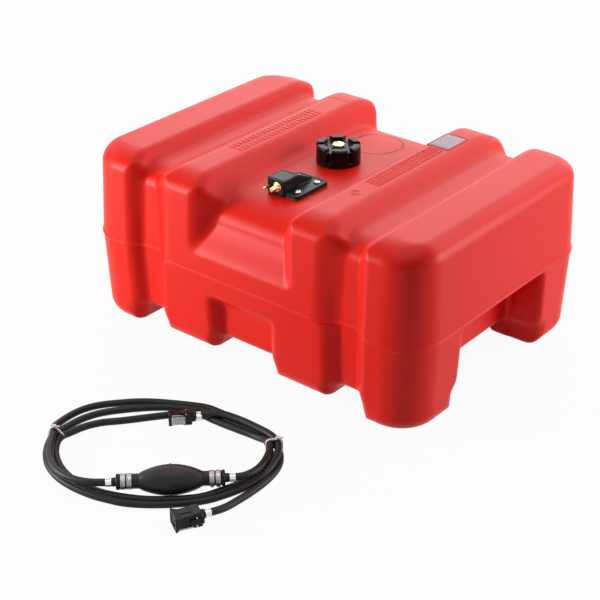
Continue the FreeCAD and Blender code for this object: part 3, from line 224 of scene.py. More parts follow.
# ---------------------------------------------------------------- finishes
@dataclass(frozen=True)
class TankPlastic:
    """Blow moulded polyethylene with a pebbled skin and moulded-in lines, in metres.

    The ring is (x, y, radius, how far the radius shrinks in one turn, bearing of its end).
    Each line is (its axis, its place, from, to), on the rib tops.
    """

    colour: Colour = (0.810, 0.0130, 0.0040)
    deep: Colour = (0.730, 0.0070, 0.0022)
    worn: Colour = (0.830, 0.070, 0.045)
    # painted shade: the dark red painted into the grooves of the moulded ring and border lines, where
    # shade falls
    groove: Colour = (0.230, 0.001, 0.001)
    cloud: float = 5.0
    mottle: float = 90.0
    pebble: float = 620.0
    relief: float = 0.00016
    mottle_relief: float = 0.00006
    groove_depth: float = 0.0009
    roughness: float = 0.41
    specular: float = 0.21
    ring: Tuple[float, float, float, float, float] = (-0.0034, 0.112, 0.043, 0.0045, 0.21)
    ring_heights: Pair = (0.25, 0.2655)
    lines: Tuple[Tuple[str, float, float, float], ...] = (
        ("x", 0.0985, -0.146, 0.160), ("y", 0.1620, 0.0985, 0.137),
        ("x", -0.1455, -0.140, 0.166), ("y", 0.1665, -0.1455, -0.104),
    )
    rib_tops: Pair = (0.284, 0.287)
    scuff_height: float = 0.012
    rub: float = 0.35

    def moulded_lines(self, graph: Graph, at: Sock) -> Sock:
        """1 on the moulded ring and border lines, 0 elsewhere."""
        x, y, z = graph.axes(at)
        centre_x, centre_y, radius, shrink, start = self.ring
        dx, dy = x - centre_x, y - centre_y
        turn = ((dy.bearing(dx) - start) / (2 * math.pi)).fraction()
        away = abs((dx * dx + dy * dy) ** 0.5 - radius + turn * shrink)
        found = (1 - away.rise(0.0008, 0.0019)) * z.within(*self.ring_heights)
        for axis, place, low, high in self.lines:
            across, along = (x, y) if axis == "x" else (y, x)
            line = 1 - abs(across - place).rise(0.0006, 0.0016)
            found = found.larger(line * along.within(low, high) * z.rise(*self.rib_tops))
        return found

    def make(self, graph: Graph) -> bpy.types.Material:
        """Build the material."""
        at = graph.place()
        cloud = graph.noise(at, self.cloud, 3.0)
        mottle = graph.noise(at, self.mottle, 3.0)
        pebble = graph.noise(at, self.pebble, 2.0, 0.6)
        groove = self.moulded_lines(graph, at)
        height = graph.axes(at)[2]
        colour = graph.mix(cloud * 0.5 + mottle * 0.3, self.colour, self.deep)
        scuffs = (1 - height.rise(0.0, self.scuff_height)) * mottle.rise(0.42, 0.62)
        rubbed = graph.edges() * mottle.rise(0.40, 0.70)
        colour = graph.mix((scuffs * 0.55).larger(rubbed * self.rub), colour, self.worn)
        relief = pebble * self.relief + mottle * self.mottle_relief - groove * self.groove_depth
        return graph.surface({
            # the grooves are sunk by bump (real relief) and darkened with painted shade in their base
            # colour
            "Base Color": graph.mix(groove * 0.85, colour, self.groove),
            "Roughness": self.roughness + (mottle - 0.5) * 0.10 + scuffs * 0.15,
            "Specular IOR Level": self.specular,
            "Normal": graph.bump(relief),
        })


@dataclass(frozen=True)
class HardPlastic:
    """Injection moulded plastic with a fine matt or gloss skin, paler on rubbed edges."""

    colour: Colour
    light: Colour
    roughness: float
    grain: float = 1400.0
    relief: float = 0.00002
    specular: float = 0.5
    worn: Colour = (0.045, 0.045, 0.048)

    def make(self, graph: Graph) -> bpy.types.Material:
        """Build the material."""
        at = graph.place()
        grain = graph.noise(at, self.grain, 2.0, 0.6)
        cloud = graph.noise(at, 160.0, 3.0)
        colour = graph.mix(cloud.rise(0.35, 0.8), self.colour, self.light)
        rubbed = graph.edges(0.52, 0.62) * cloud.rise(0.3, 0.7)
        return graph.surface({
            "Base Color": graph.mix(rubbed * 0.6, colour, self.worn),
            "Roughness": self.roughness + (cloud - 0.5) * 0.16,
            "Specular IOR Level": self.specular,
            "Normal": graph.bump((grain + cloud) * self.relief),
        })


@dataclass(frozen=True)
class Rubber:
    """Black rubber with a dusty bloom and fine flow marks."""

    colour: Colour
    bloom: Colour
    roughness: float
    relief: float = 0.00004
    specular: float = 0.5

    def make(self, graph: Graph) -> bpy.types.Material:
        """Build the material."""
        at = graph.place()
        dust = graph.noise(at, 55.0, 4.0, 0.6)
        grain = graph.noise(at, 1500.0, 2.0)
        return graph.surface({
            "Base Color": graph.mix(dust.rise(0.4, 0.75) * 0.7, self.colour, self.bloom),
            "Roughness": self.roughness + (dust - 0.5) * 0.14,
            "Specular IOR Level": self.specular,
            "Normal": graph.bump((grain + dust) * self.relief),
        })


@dataclass(frozen=True)
class Metal:
    """Turned or pressed metal with fine tool marks."""

    colour: Colour
    dull: Colour
    roughness: float
    marks: Point = (900.0, 900.0, 5200.0)
    relief: float = 0.000008

    def make(self, graph: Graph) -> bpy.types.Material:
        """Build the material."""
        at = graph.place()
        marks = graph.noise(graph.vector("MULTIPLY", at, self.marks), 1.0, 2.0)
        stain = graph.noise(at, 220.0, 3.0)
        return graph.surface({
            "Base Color": graph.mix(stain.rise(0.45, 0.8) * 0.7, self.colour, self.dull),
            "Metallic": 1.0,
            "Roughness": self.roughness + (stain - 0.4) * 0.2,
            "Normal": graph.bump(marks * self.relief),
        })


@dataclass(frozen=True)
class Film:
    """A printed film or thin nylon with a faint mottle; ruled with plain lines if asked."""

    colour: Colour
    shade: Colour
    roughness: float
    ruled: Optional[Colour] = None
    pitch: float = 0.0032
    coat: float = 0.0

    def make(self, graph: Graph) -> bpy.types.Material:
        """Build the material."""
        at = graph.place()
        mottle = graph.noise(at, 240.0, 3.0)
        colour = graph.mix(mottle.rise(0.35, 0.75), self.colour, self.shade)
        if self.ruled:
            height = graph.axes(at)[2]
            rule = 1 - abs((height / self.pitch).fraction() - 0.5).rise(0.10, 0.2)
            colour = graph.mix(rule * 0.35, colour, self.ruled)
        return graph.surface({
            "Base Color": colour,
            "Roughness": self.roughness + (mottle - 0.5) * 0.1,
            "Coat Weight": self.coat,
            "Normal": graph.bump(mottle * 0.00002),
        })


Recipe = Union[TankPlastic, HardPlastic, Rubber, Metal, Film]
POLISHED = Metal((0.74, 0.73, 0.72), (0.48, 0.47, 0.46), 0.24)


@lru_cache(maxsize=None)
def material_of(recipe: Recipe, title: str) -> bpy.types.Material:
    """The material of a recipe, made the first time that it is asked for."""
    return recipe.make(Graph(bpy.data.materials.new(title)))


class Finish(Enum):
    """Every finish: its recipe, its material's name and the record's material slot."""

    TANK = (TankPlastic(), "tank_polyethylene", "tank_plastic")
    CAP = (HardPlastic((0.0025, 0.0025, 0.003), (0.005, 0.005, 0.006), 0.30, specular=0.15),
           "cap_nylon", "cap_plastic")
    FITTING = (HardPlastic((0.005, 0.005, 0.006), (0.011, 0.011, 0.0125), 0.36, 1100.0, 0.00004,
                           0.20), "fitting_nylon", "fitting_plastic")
    BRASS = (Metal((0.86, 0.64, 0.34), (0.62, 0.40, 0.17), 0.22), "turned_brass", "brass")
    DARK_BRASS = (Metal((0.20, 0.13, 0.08), (0.06, 0.04, 0.03), 0.38), "aged_brass", "brass")
    STEEL = (POLISHED, "stainless_steel", "stainless")
    CLAMP = (POLISHED, "stainless_steel", "band_metal")
    BAND = (Metal((0.34, 0.34, 0.345), (0.20, 0.20, 0.205), 0.36, (1500.0, 1500.0, 1500.0)),
            "pressed_band_steel", "band_metal")
    HOSE = (Rubber((0.006, 0.006, 0.0065), (0.014, 0.014, 0.015), 0.47, specular=0.26),
            "hose_rubber", "hose_rubber")
    BULB = (Rubber((0.005, 0.005, 0.0055), (0.010, 0.010, 0.0105), 0.42, specular=0.32),
            "bulb_rubber", "bulb_rubber")
    SEAL = (Rubber((0.010, 0.010, 0.010), (0.030, 0.030, 0.030), 0.55), "seal_rubber",
            "seal_rubber")
    NYLON = (Film((0.90, 0.90, 0.88), (0.80, 0.80, 0.78), 0.42), "tie_nylon", "tie_nylon")
    TAG = (Film((0.95, 0.95, 0.95), (0.92, 0.92, 0.92), 0.40, (0.75, 0.75, 0.76)),
           "tag_film", "tag_film")
    LABEL = (Film((0.27, 0.16, 0.20), (0.33, 0.21, 0.25), 0.42, coat=0.1),
             "label_film", "plate_film")
    PICKUP = (HardPlastic((0.55, 0.53, 0.48), (0.70, 0.68, 0.62), 0.45,
                          worn=(0.75, 0.74, 0.70)), "pickup_plastic", "")

    def __init__(self, recipe: Recipe, title: str, slot: str) -> None:
        """Note the three parts of the finish."""
        self.recipe = recipe
        self.title = title
        self.slot = slot

    @property
    def material(self) -> bpy.types.Material:
        """The finish's material."""
        return material_of(self.recipe, self.title)


# ---------------------------------------------------------------- shapes
def linked(name: str, data: Optional[bpy.types.ID]) -> bpy.types.Object:
    """A new object in the scene."""
    made = bpy.data.objects.new(name, data)
    bpy.context.scene.collection.objects.link(made)
    return made


@dataclass
class Shape:
    """Points in millimetres, their faces, and a normal at each point where it is known."""

    points: Grid
    faces: Faces
    normals: Optional[Grid] = None

    def moved(self, matrix: Matrix) -> "Shape":
        """This shape in another place."""
        grid = np.array(matrix)
        points = self.points @ grid[:3, :3].T + grid[:3, 3]
        normals = None if self.normals is None else self.normals @ grid[:3, :3].T
        return Shape(points, self.faces, normals)

    def piece(self, name: str, finish: Finish, body: str, *nodes: str) -> bpy.types.Object:
        """Turn the shape into a piece that rides on a body.

        Args:
            name: the piece's name.
            finish: its finish.
            body: the body that it moves with.
            nodes: the CAD nodes that it stands for.

        Returns:
            The new object.
        """
        mesh = bpy.data.meshes.new(name)
        mesh.from_pydata((self.points * MM).tolist(), [], [tuple(map(int, f)) for f in self.faces])
        mesh.update()
        mesh.shade_smooth()
        if self.normals is None:
            mesh.set_sharp_from_angle(angle=SHARP_EDGE)
        else:
            mesh.normals_split_custom_set_from_vertices(self.normals.tolist())
        mesh.materials.append(finish.material)
        made = linked(name, mesh)
        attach(made, body)
        if nodes:
            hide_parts(*nodes)
        log.info("%s: %d faces, rides on %s", name, len(self.faces), body)
        return made


def together(shapes: Sequence[Shape]) -> Shape:
    """Several shapes as one."""
    faces: Faces = []
    start = 0
    for shape in shapes:
        faces += [tuple(i + start for i in f) for f in shape.faces]
        start += len(shape.points)
    normals = [shape.normals for shape in shapes]
    known = all(n is not None for n in normals)
    return Shape(np.vstack([shape.points for shape in shapes]), faces,
                 np.vstack(normals) if known else None)


def smooth_max(a: Grid, b: Grid, radius: float) -> Grid:
    """Intersection of two fields with a rounded edge."""
    round_part = np.hypot(np.maximum(radius + a, 0), np.maximum(radius + b, 0))
    return np.minimum(-radius, np.maximum(a, b)) + round_part


def smooth_min(a: Grid, b: Grid, radius: float) -> Grid:
    """Union of two fields with a rounded crease."""
    return -smooth_max(-a, -b, radius)


def common(radius: float, *fields: Grid) -> Grid:
    """Intersection of several fields with rounded edges."""
    total = fields[0]
    for part in fields[1:]:
        total = smooth_max(total, part, radius)
    return total


def cut(whole: Grid, tool: Grid, radius: float) -> Grid:
    """One field with another taken away, its rim rounded."""
    return smooth_max(whole, -tool, radius)


def between(value: Grid, low: float, high: float) -> Grid:
    """Negative between low and high."""
    return np.maximum(low - value, value - high)


def slant(u: Grid, v: Grid, at: Pair, way: Pair) -> Grid:
    """How far (u, v) lies past a plane through the point at, along the direction way."""
    return (way[0] * (u - at[0]) + way[1] * (v - at[1])) / math.hypot(*way)


def graded(start: float, *stretches: Pair) -> Grid:
    """Coordinates from start on, in stretches of (up to, step)."""
    values = [start]
    for limit, step in stretches:
        while values[-1] + step <= limit:
            values.append(values[-1] + step)
    return np.array(values)


def mirrored(values: Grid) -> Grid:
    """Coordinates on both sides of 0."""
    return np.concatenate([-values[::-1], values])


@dataclass
class FieldMesher:
    """Turns a field that is negative inside into a smooth skin of four-sided faces."""

    shape_field: Field
    xs: Grid
    ys: Grid
    zs: Grid
    passes: int = 3
    probe: float = 0.05

    @staticmethod
    def even(shape_field: Field, spans: Sequence[float], step: float) -> Shape:
        """The skin from an even grid that covers spans x0, x1, y0, y1, z0, z1."""
        axes = [np.arange(low - 1.5 * step, high + 2 * step, step)
                for low, high in zip(spans[::2], spans[1::2])]
        return FieldMesher(shape_field, *axes, probe=min(0.05, step / 8)).skin()

    def slope(self, points: Grid) -> Grid:
        """The field's gradient at some points."""
        parts = []
        for shift in np.eye(3) * self.probe:
            above, below = points + shift, points - shift
            parts.append((self.shape_field(*above.T) - self.shape_field(*below.T))
                         / (2 * self.probe))
        return np.stack(parts, 1)

    def skin(self) -> Shape:
        """Mesh the field's zero surface."""
        values = self.shape_field(*np.meshgrid(self.xs, self.ys, self.zs, indexing="ij"))
        inside = values < 0
        cells = tuple(n - 1 for n in values.shape)
        total, count = np.zeros(cells + (3,)), np.zeros(cells)
        crossings = []
        for axis in range(3):
            i, low_inside, at = self._crossed(axis, values, inside)
            others = [k for k in range(3) if k != axis]
            for shift in ((0, 0), (0, 1), (1, 0), (1, 1)):
                cell = list(i)
                for k, back in zip(others, shift):
                    cell[k] = i[k] - back
                good = np.all([(cell[k] >= 0) & (cell[k] < cells[k]) for k in others], 0)
                where = tuple(c[good] for c in cell)
                np.add.at(total, where, at[good])
                np.add.at(count, where, 1)
            crossings.append((axis, i, low_inside))
        active = count > 0
        number = -np.ones(cells, int)
        number[active] = np.arange(active.sum())
        points = total[active] / count[active][:, None]
        faces = np.concatenate([self._quads(number, *c) for c in crossings])
        for _ in range(self.passes):
            slope = self.slope(points)
            step = self.shape_field(*points.T) / np.maximum((slope ** 2).sum(1), 1e-6)
            points -= slope * np.clip(step, -3, 3)[:, None]
        normals = self.slope(points)
        normals /= np.maximum(np.linalg.norm(normals, axis=1), 1e-9)[:, None]
        return Shape(points, [tuple(f) for f in faces.tolist()], normals)

    def _crossed(self, axis: int, values: Grid,
                 inside: Grid) -> Tuple[Tuple[Grid, ...], Grid, Grid]:
        """The grid's edges along one axis that the surface crosses.

        Args:
            axis: 0, 1 or 2.
            values: the field on the grid.
            inside: where the field is negative.

        Returns:
            The edges' first corners, whether those lie inside, and the crossing points.
        """
        low, high = [slice(None)] * 3, [slice(None)] * 3
        low[axis], high[axis] = slice(0, -1), slice(1, None)
        first, last = values[tuple(low)], values[tuple(high)]
        low_inside = inside[tuple(low)]
        i = np.nonzero(low_inside != inside[tuple(high)])
        share = first[i] / (first[i] - last[i])
        grids = (self.xs, self.ys, self.zs)
        at = np.stack([grids[k][i[k]] for k in range(3)], 1)
        ends = grids[axis]
        at[:, axis] = ends[i[axis]] * (1 - share) + ends[i[axis] + 1] * share
        return i, low_inside[i], at

    @staticmethod
    def _quads(number: Grid, axis: int, i: Tuple[Grid, ...], low_inside: Grid) -> Grid:
        """The faces that cross the grid's edges along one axis."""
        u, v = {0: (1, 2), 1: (2, 0), 2: (0, 1)}[axis]
        inner = (i[u] > 0) & (i[u] < number.shape[u]) & (i[v] > 0) & (i[v] < number.shape[v])
        i = tuple(k[inner] for k in i)
        corners = []
        for du, dv in ((-1, -1), (0, -1), (0, 0), (-1, 0)):
            cell = list(i)
            cell[u], cell[v] = i[u] + du, i[v] + dv
            corners.append(number[tuple(cell)])
        quads = np.stack(corners, 1)
        turned = ~low_inside[inner]
        quads[turned] = quads[turned][:, ::-1]
        return quads


def arcs(corners: Corners, steps: int = 5, closed: bool = False) -> List[Pair]:
    """An outline from corners (u, v, radius), each rounded with a few steps."""
    line: List[Pair] = []
    count = len(corners)
    for k, (u, v, radius) in enumerate(corners):
        if radius <= 0 or (not closed and k in (0, count - 1)):
            line.append((u, v))
            continue
        here = np.array((u, v), float)
        back = np.array(corners[k - 1][:2], float) - here
        ahead = np.array(corners[(k + 1) % count][:2], float) - here
        back_size, ahead_size = np.linalg.norm(back), np.linalg.norm(ahead)
        back, ahead = back / back_size, ahead / ahead_size
        half = math.acos(float(np.clip(back @ ahead, -1, 1))) / 2
        reach = min(radius / math.tan(half), 0.49 * back_size, 0.49 * ahead_size)
        radius = reach * math.tan(half)
        middle = here + (back + ahead) / np.linalg.norm(back + ahead) * radius / math.sin(half)
        first, last = here + back * reach - middle, here + ahead * reach - middle
        start = math.atan2(first[1], first[0])
        sweep = math.atan2(last[1], last[0]) - start
        sweep = (sweep + math.pi) % (2 * math.pi) - math.pi
        for angle in np.linspace(start, start + sweep, steps + 1):
            line.append((middle[0] + radius * math.cos(angle), middle[1] + radius * math.sin(angle)))
    return line


def oblong(half_u: float, half_v: float, radius: float, steps: int) -> List[Pair]:
    """A rectangle round the origin with rounded corners."""
    signs = ((-1, -1), (1, -1), (1, 1), (-1, 1))
    return arcs([(half_u * u, half_v * v, radius) for u, v in signs], steps, True)


def stacked(rings: Sequence[Sequence[Point]], capped: bool = False, joined: bool = False,
            turned: bool = False) -> Shape:
    """A skin through rings of the same number of points.

    Args:
        rings: the rings, each a closed loop.
        capped: whether the last ring is filled.
        joined: whether the last ring joins the first.
        turned: whether the faces look the other way.

    Returns:
        The shape.
    """
    count, levels = len(rings[0]), len(rings)
    faces: Faces = [tuple(range(count * (levels - 1), count * levels))] if capped else []
    for r in range(levels if joined else levels - 1):
        low, high = count * r, count * ((r + 1) % levels)
        for k in range(count):
            n = (k + 1) % count
            faces.append((low + k, low + n, high + n, high + k))
    if turned:
        faces = [f[::-1] for f in faces]
    return Shape(np.array([p for ring in rings for p in ring], float), faces)


def sheet(rows: int, columns: int, points: Sequence[Point], turned: bool = False) -> Shape:
    """An open skin through a grid of points, given row after row."""
    faces = [(columns * i + j, columns * (i + 1) + j, columns * (i + 1) + j + 1, columns * i + j + 1)
             for i in range(rows - 1) for j in range(columns - 1)]
    return Shape(np.array(points, float), [f[::-1] for f in faces] if turned else faces)


def lathe(profile: Sequence[Pair], steps: int = 64, closed: bool = False) -> Shape:
    """Turn a profile of (radius, height) about the Z axis.

    Args:
        profile: its points, going up on the outside, so that faces look outwards.
        steps: how many faces go round.
        closed: whether the last point joins the first, as in a ring.

    Returns:
        The turned shape, open where the profile's ends stand off the axis.
    """
    points: List[Point] = []
    rows: List[List[int]] = []
    for radius, height in profile:
        if radius < 1e-6:
            rows.append([len(points)] * steps)
            points.append((0.0, 0.0, height))
            continue
        rows.append([len(points) + k for k in range(steps)])
        for k in range(steps):
            angle = 2 * math.pi * k / steps
            points.append((radius * math.cos(angle), radius * math.sin(angle), height))
    pairs = list(zip(rows, rows[1:])) + ([(rows[-1], rows[0])] if closed else [])
    faces: Faces = []
    for low, high in pairs:
        for k in range(steps):
            n = (k + 1) % steps
            corner = [low[k], low[n], high[n], high[k]]
            face = tuple(c for j, c in enumerate(corner) if c != corner[j - 1])
            if len(face) > 2:
                faces.append(face)
    return Shape(np.array(points, float), faces)


def bevelled(spans: Sequence[float], radius: float, steps: int = 3) -> Shape:
    """A box from spans x0, x1, y0, y1, z0, z1 with rounded edges and corners."""
    work = bmesh.new()
    bmesh.ops.create_cube(work, size=1.0)
    for vert in work.verts:
        for axis in range(3):
            vert.co[axis] = spans[2 * axis + (vert.co[axis] > 0)]
    bmesh.ops.bevel(work, geom=work.edges[:], offset=radius, segments=steps, profile=0.5,
                    affect="EDGES")
    work.verts.index_update()
    points = np.array([v.co[:] for v in work.verts], float)
    faces = [tuple(v.index for v in f.verts) for f in work.faces]
    work.free()
    return Shape(points, faces)


def shifted(x: float, y: float, z: float = 0.0) -> Matrix:
    """A plain shift."""
    return Matrix.Translation((x, y, z))


def frame_along(at: Point, direction: Point) -> Matrix:
    """A placement whose Z axis runs along direction and whose X axis lies nearest up."""
    z = Vector(direction).normalized()
    guide = Vector((0, 0, 1))
    if abs(z.dot(guide)) > 0.99:
        guide = Vector((1, 0, 0))
    x = (guide - z * guide.dot(z)).normalized()
    turn = Matrix((x, z.cross(x), z)).transposed().to_4x4()
    return Matrix.Translation(at) @ turn


def heading(degrees: float) -> Point:
    """The level direction at a bearing from the X axis."""
    return math.cos(math.radians(degrees)), math.sin(math.radians(degrees)), 0.0


# ---------------------------------------------------------------- the tank
@dataclass
class TankBody:
    """The red blow moulded tank with its ribs, valleys, feet and recesses, in millimetres."""

    half_length: float = 320.0
    half_width: float = 232.0
    height: float = 292.0
    seam: float = 144.0
    seam_bead: float = 1.6
    seam_half: float = 2.5
    lean: float = 5.0
    corner: float = 62.0
    long_run: float = 48.0
    end_run: float = 28.0
    top_radius: float = 27.0
    bottom_radius: float = 26.0
    edge: float = 9.0
    crease: float = 6.0
    shelf_crease: float = 22.0
    grip_radius: float = 38.0
    underside: float = 36.0
    rib_foot: float = 10.0
    rib_inner: float = 62.0
    rib_outer: float = 160.0
    rib_top_outer: float = 150.0
    rib_top_inner: float = 94.0
    end_rib: float = 226.0
    foot_inner: float = 108.0
    outer_valley: float = 18.0
    centre_depth: float = 30.0
    grip_depth: float = 27.0
    grip_foot: float = 199.0
    shelf_top: float = 182.0
    shelf_foot: float = 108.0
    low_depth: float = 22.0
    low_top: float = 113.0
    step_height: float = 139.0
    neck: Pair = (-12.0, 23.0)
    neck_hole: float = 27.0
    neck_room: float = 7.0
    neck_radius: float = 26.5
    neck_bore: float = 22.5
    neck_top: float = 278.0
    side_run: float = 12.0
    deep_run: float = 22.0
    curve_foot: float = 150.0
    curve_rise: float = 60.0
    step_blend: float = 5.0
    shelf_inner: float = 150.0

    @property
    def floor(self) -> float:
        """Height of the central valley's floor."""
        return self.height - self.centre_depth

    def side_scale(self, x: Grid, y: Grid, z: Grid) -> Grid:
        """How much the walls' distance shrinks near the top, where their edge is a long curve."""
        past_x, past_y = x - self.half_length + self.corner, y - self.half_width + self.corner
        bearing = np.arctan2(np.maximum(past_y, 0), np.maximum(past_x, 1e-3))
        bearing = np.where(past_x > 0, bearing / (math.pi / 2), 1.0)
        bearing = bearing * bearing * (3 - 2 * bearing)
        run = self.end_run + (self.long_run - self.end_run) * bearing
        return 1 + (self.top_radius / run - 1) * np.clip((z - self.curve_foot) / self.curve_rise, 0, 1)

    def cheek(self, y: Grid, z: Grid) -> Grid:
        """The inner face of the corner feet and of the hand recess."""
        return self.foot_inner + self.lean * (1 - 2 * z / self.height) - y

    def bottom(self, x: Grid, y: Grid, z: Grid) -> Grid:
        """The underside, the inner ribs' feet and the four corner feet."""
        rise, run = self.underside - self.rib_foot, self.side_run
        rib = common(self.edge, self.rib_foot - z,
                     slant(x, z, (self.rib_outer, self.rib_foot), (rise, -run)),
                     slant(x, z, (self.rib_inner, self.rib_foot), (-rise, -run)))
        foot = common(self.edge, -z, slant(x, z, (self.end_rib, 0), (-self.underside, -run)),
                      self.cheek(y, z))
        return smooth_min(smooth_min(self.underside - z, rib, self.crease), foot, self.crease)

    def outer_groove(self, x: Grid, y: Grid, z: Grid, lean: Grid, scale: Grid) -> Grid:
        """What the valley between an inner rib and an end rib leaves standing."""
        wall = y - (self.half_width - self.outer_valley) + lean
        core = smooth_max(wall * scale, z - (self.height - self.outer_valley), self.top_radius)
        upper = np.clip((z - self.step_height) / self.step_blend, 0, 1)
        place = self.rib_outer - (self.rib_outer - self.rib_top_outer) * upper
        rise, run = self.outer_valley, self.side_run + (self.deep_run - self.side_run) * upper
        side = (rise * (x - place) + run * (y - self.half_width)) / np.hypot(rise, run)
        top = slant(x, z, (self.rib_top_outer, self.height), (rise, self.deep_run))
        way = (-rise, self.side_run)
        end_rib = smooth_max(slant(x, z, (self.end_rib, self.height), way),
                             slant(x, y, (self.end_rib, self.half_width), way), self.edge)
        inner_rib = smooth_max(top, side, self.edge)
        return smooth_min(smooth_min(core, inner_rib, self.crease), end_rib, self.crease)

    def centre(self, x: Grid, y: Grid, z: Grid, scale: Grid) -> Grid:
        """What the central valley, the grip recess and the lower recess leave standing."""
        grip = self.half_width - self.grip_depth
        lean = self.lean * np.clip((z - self.grip_foot) / (self.floor - self.grip_foot), 0, 1)
        floor = smooth_max((y - grip + lean) * scale, z - self.floor, self.grip_radius)
        low = smooth_max(y - self.half_width + self.low_depth, z - self.low_top, 2.0)
        lip = slant(y, z, (self.half_width, self.shelf_top),
                    (self.grip_foot - self.shelf_top, self.grip_depth))
        shelf = common(self.crease, self.shelf_foot - z, lip, self.shelf_inner - y)
        core = smooth_min(smooth_min(floor, low, self.crease), shelf, self.shelf_crease)
        rib_top, run = self.rib_top_inner, self.deep_run
        upper = smooth_max(slant(x, z, (rib_top, self.height), (-self.centre_depth, run)),
                           slant(x, y, (rib_top, self.half_width), (-self.grip_depth, run)), self.edge)
        lower = slant(x, y, (self.rib_inner, self.half_width), (-self.low_depth, self.side_run))
        return smooth_min(core, np.where(z > self.seam + 1, upper, lower), self.crease)

    def hand_recess(self, x: Grid, y: Grid, z: Grid) -> Grid:
        """What the hand recess in each end leaves standing."""
        wall = smooth_min(x - self.half_length + self.corner, self.cheek(y, z), self.edge)
        return smooth_min(wall, self.step_height - z, self.edge)

    def form(self, x: Grid, y: Grid, z: Grid) -> Grid:
        """The whole tank as a field, negative inside."""
        x, y = np.abs(x), np.abs(y)
        lean = self.lean * np.minimum(2 * np.abs(z - self.seam) / self.height, 1)
        wall = smooth_max(y - self.half_width + lean, x - self.half_length + lean, self.corner)
        scale = self.side_scale(x, y, z)
        form = smooth_max(wall * scale, z - self.height, self.top_radius)
        form = smooth_max(form, self.bottom(x, y, z), self.bottom_radius)
        for hollow in (self.outer_groove(x, y, z, lean, scale), self.centre(x, y, z, scale),
                       self.hand_recess(x, y, z)):
            form = smooth_max(form, hollow, self.edge)
        bead = np.clip(1 - ((z - self.seam) / self.seam_half) ** 4, 0, None) ** 0.5
        return form - self.seam_bead * bead

    def skin(self) -> Shape:
        """The tank's outer skin, open where the filler neck stands."""
        xs = graded(2.5, (46, 5), (176, 2.8), (206, 4), (232, 2.3), (255, 5), (326, 2.9))
        ys = graded(3.0, (100, 6), (120, 2.5), (180, 6), (238, 2.3))
        zs = graded(-3.0, (60, 2.8), (100, 6), (115, 2.5), (135, 4), (140, 1.5), (148, 0.8),
                    (152, 2), (176, 6), (205, 2.8), (240, 6), (297, 2.3))
        shape = FieldMesher(self.form, mirrored(xs), mirrored(ys), zs, probe=0.3).skin()
        shape.points[:, 2] = np.maximum(shape.points[:, 2], 0.0)
        at = shape.points[np.array([f[0] for f in shape.faces])]
        away = np.hypot(at[:, 0] - self.neck[0], at[:, 1] - self.neck[1])
        hole = (away < self.neck_hole) & (at[:, 2] > self.floor - self.neck_room)
        shape.faces = [f for f, gone in zip(shape.faces, hole) if not gone]
        return shape

    def grip_bars(self) -> Shape:
        """Rows of short raised bars moulded on the two inner ribs."""
        left = [(x, y, 11.5, 5.4) for x in (-130.0, -114.0) for y in np.arange(-92.0, 108.0, 9.2)]
        right = [(x, y, length, 3.4)
                 for x, length in ((108.3, 6.6), (115.8, 5.0), (122.4, 5.0), (129.6, 6.6))
                 for y in np.arange(-64.0, 98.0, 6.2)]
        return together([self.bar(*spot) for spot in left + right])

    def bar(self, x: float, y: float, length: float, width: float, proud: float = 0.8) -> Shape:
        """One raised bar with a soft crown, across a rib."""
        rings = [[(x + u, y + v, self.height + z)
                  for u, v in oblong(length / 2 - inset, width / 2 - inset, 0.6, 3)]
                 for inset, z in ((0.0, -0.4), (0.1, proud * 0.45), (0.55, proud))]
        return stacked(rings, capped=True)

    def filler_neck(self, steps: int = 96, turns: float = 2.25, pitch: float = 4.0,
                    depth: float = 1.9) -> Shape:
        """The threaded neck under the cap, with its foot in the valley floor."""
        floor, radius = self.floor, self.neck_radius
        wall = lathe(arcs([
            (34.0, floor - 0.6, 0), (31.0, floor + 0.5, 3.0), (radius, floor + 1.2, 2.0),
            (radius, self.neck_top, 1.0), (self.neck_bore, self.neck_top, 1.0),
            (self.neck_bore, floor - 12, 0),
        ], 4), steps)
        rows = int(turns * steps)
        points = []
        for k in range(rows + 1):
            cos_k, sin_k = math.cos(2 * math.pi * k / steps), math.sin(2 * math.pi * k / steps)
            crest = radius - 0.2 + depth * min(1.0, k / 10, (rows - k) / 10)
            base = floor + 4 + pitch * k / steps
            for away, dz in ((radius - 0.3, -1.3), (crest, -0.5), (crest, 0.5), (radius - 0.3, 1.3)):
                points.append((away * cos_k, away * sin_k, base + dz))
        return together([wall, sheet(rows + 1, 4, points)]).moved(shifted(*self.neck))

    def mould_mark(self, at: Pair = (118.0, -105.0)) -> Shape:
        """A small plain ring with two bars, moulded on the right inner rib."""
        ring = lathe(arcs([(7.4, -0.4, 0), (7.4, 0.5, 0.4), (6.0, 0.5, 0.4), (6.0, -0.4, 0)], 3), 48)
        bars = [bevelled((-1.0, 1.0, -4.5, 4.5, -0.3, 0.5), 0.35, 2),
                bevelled((9.5, 11.5, -3.5, 3.5, -0.3, 0.45), 0.35, 2)]
        return together([ring, *bars]).moved(shifted(*at, self.height))

    def plate_frame(self, box: Tuple[float, ...] = (97.8, 137.2, 104.3, 159.7),
                    width: float = 1.2) -> Shape:
        """The raised frame moulded round the plate."""
        x0, x1, y0, y1 = box
        bars = ((x0, x1, y0, y0 + width), (x0, x1, y1 - width, y1), (x0, x0 + width, y0, y1),
                (x1 - width, x1, y0, y1))
        return together([bevelled((*bar, self.height - 0.5, self.height + 0.8), 0.35, 2)
                         for bar in bars])

    def plate(self, at: Pair = (117.5, 132.0), half: Pair = (18.0, 26.0)) -> Shape:
        """The blank plate: a thin film with soft corners and a faintly pillowed face."""
        rings = [[(u * s, v * s, self.height + z) for u, v in oblong(*half, 2.0, 5)]
                 for s, z in ((1.0, 0.0), (1.0, 0.5), (0.985, 0.75), (0.6, 0.8))]
        return stacked(rings, capped=True).moved(shifted(*at))

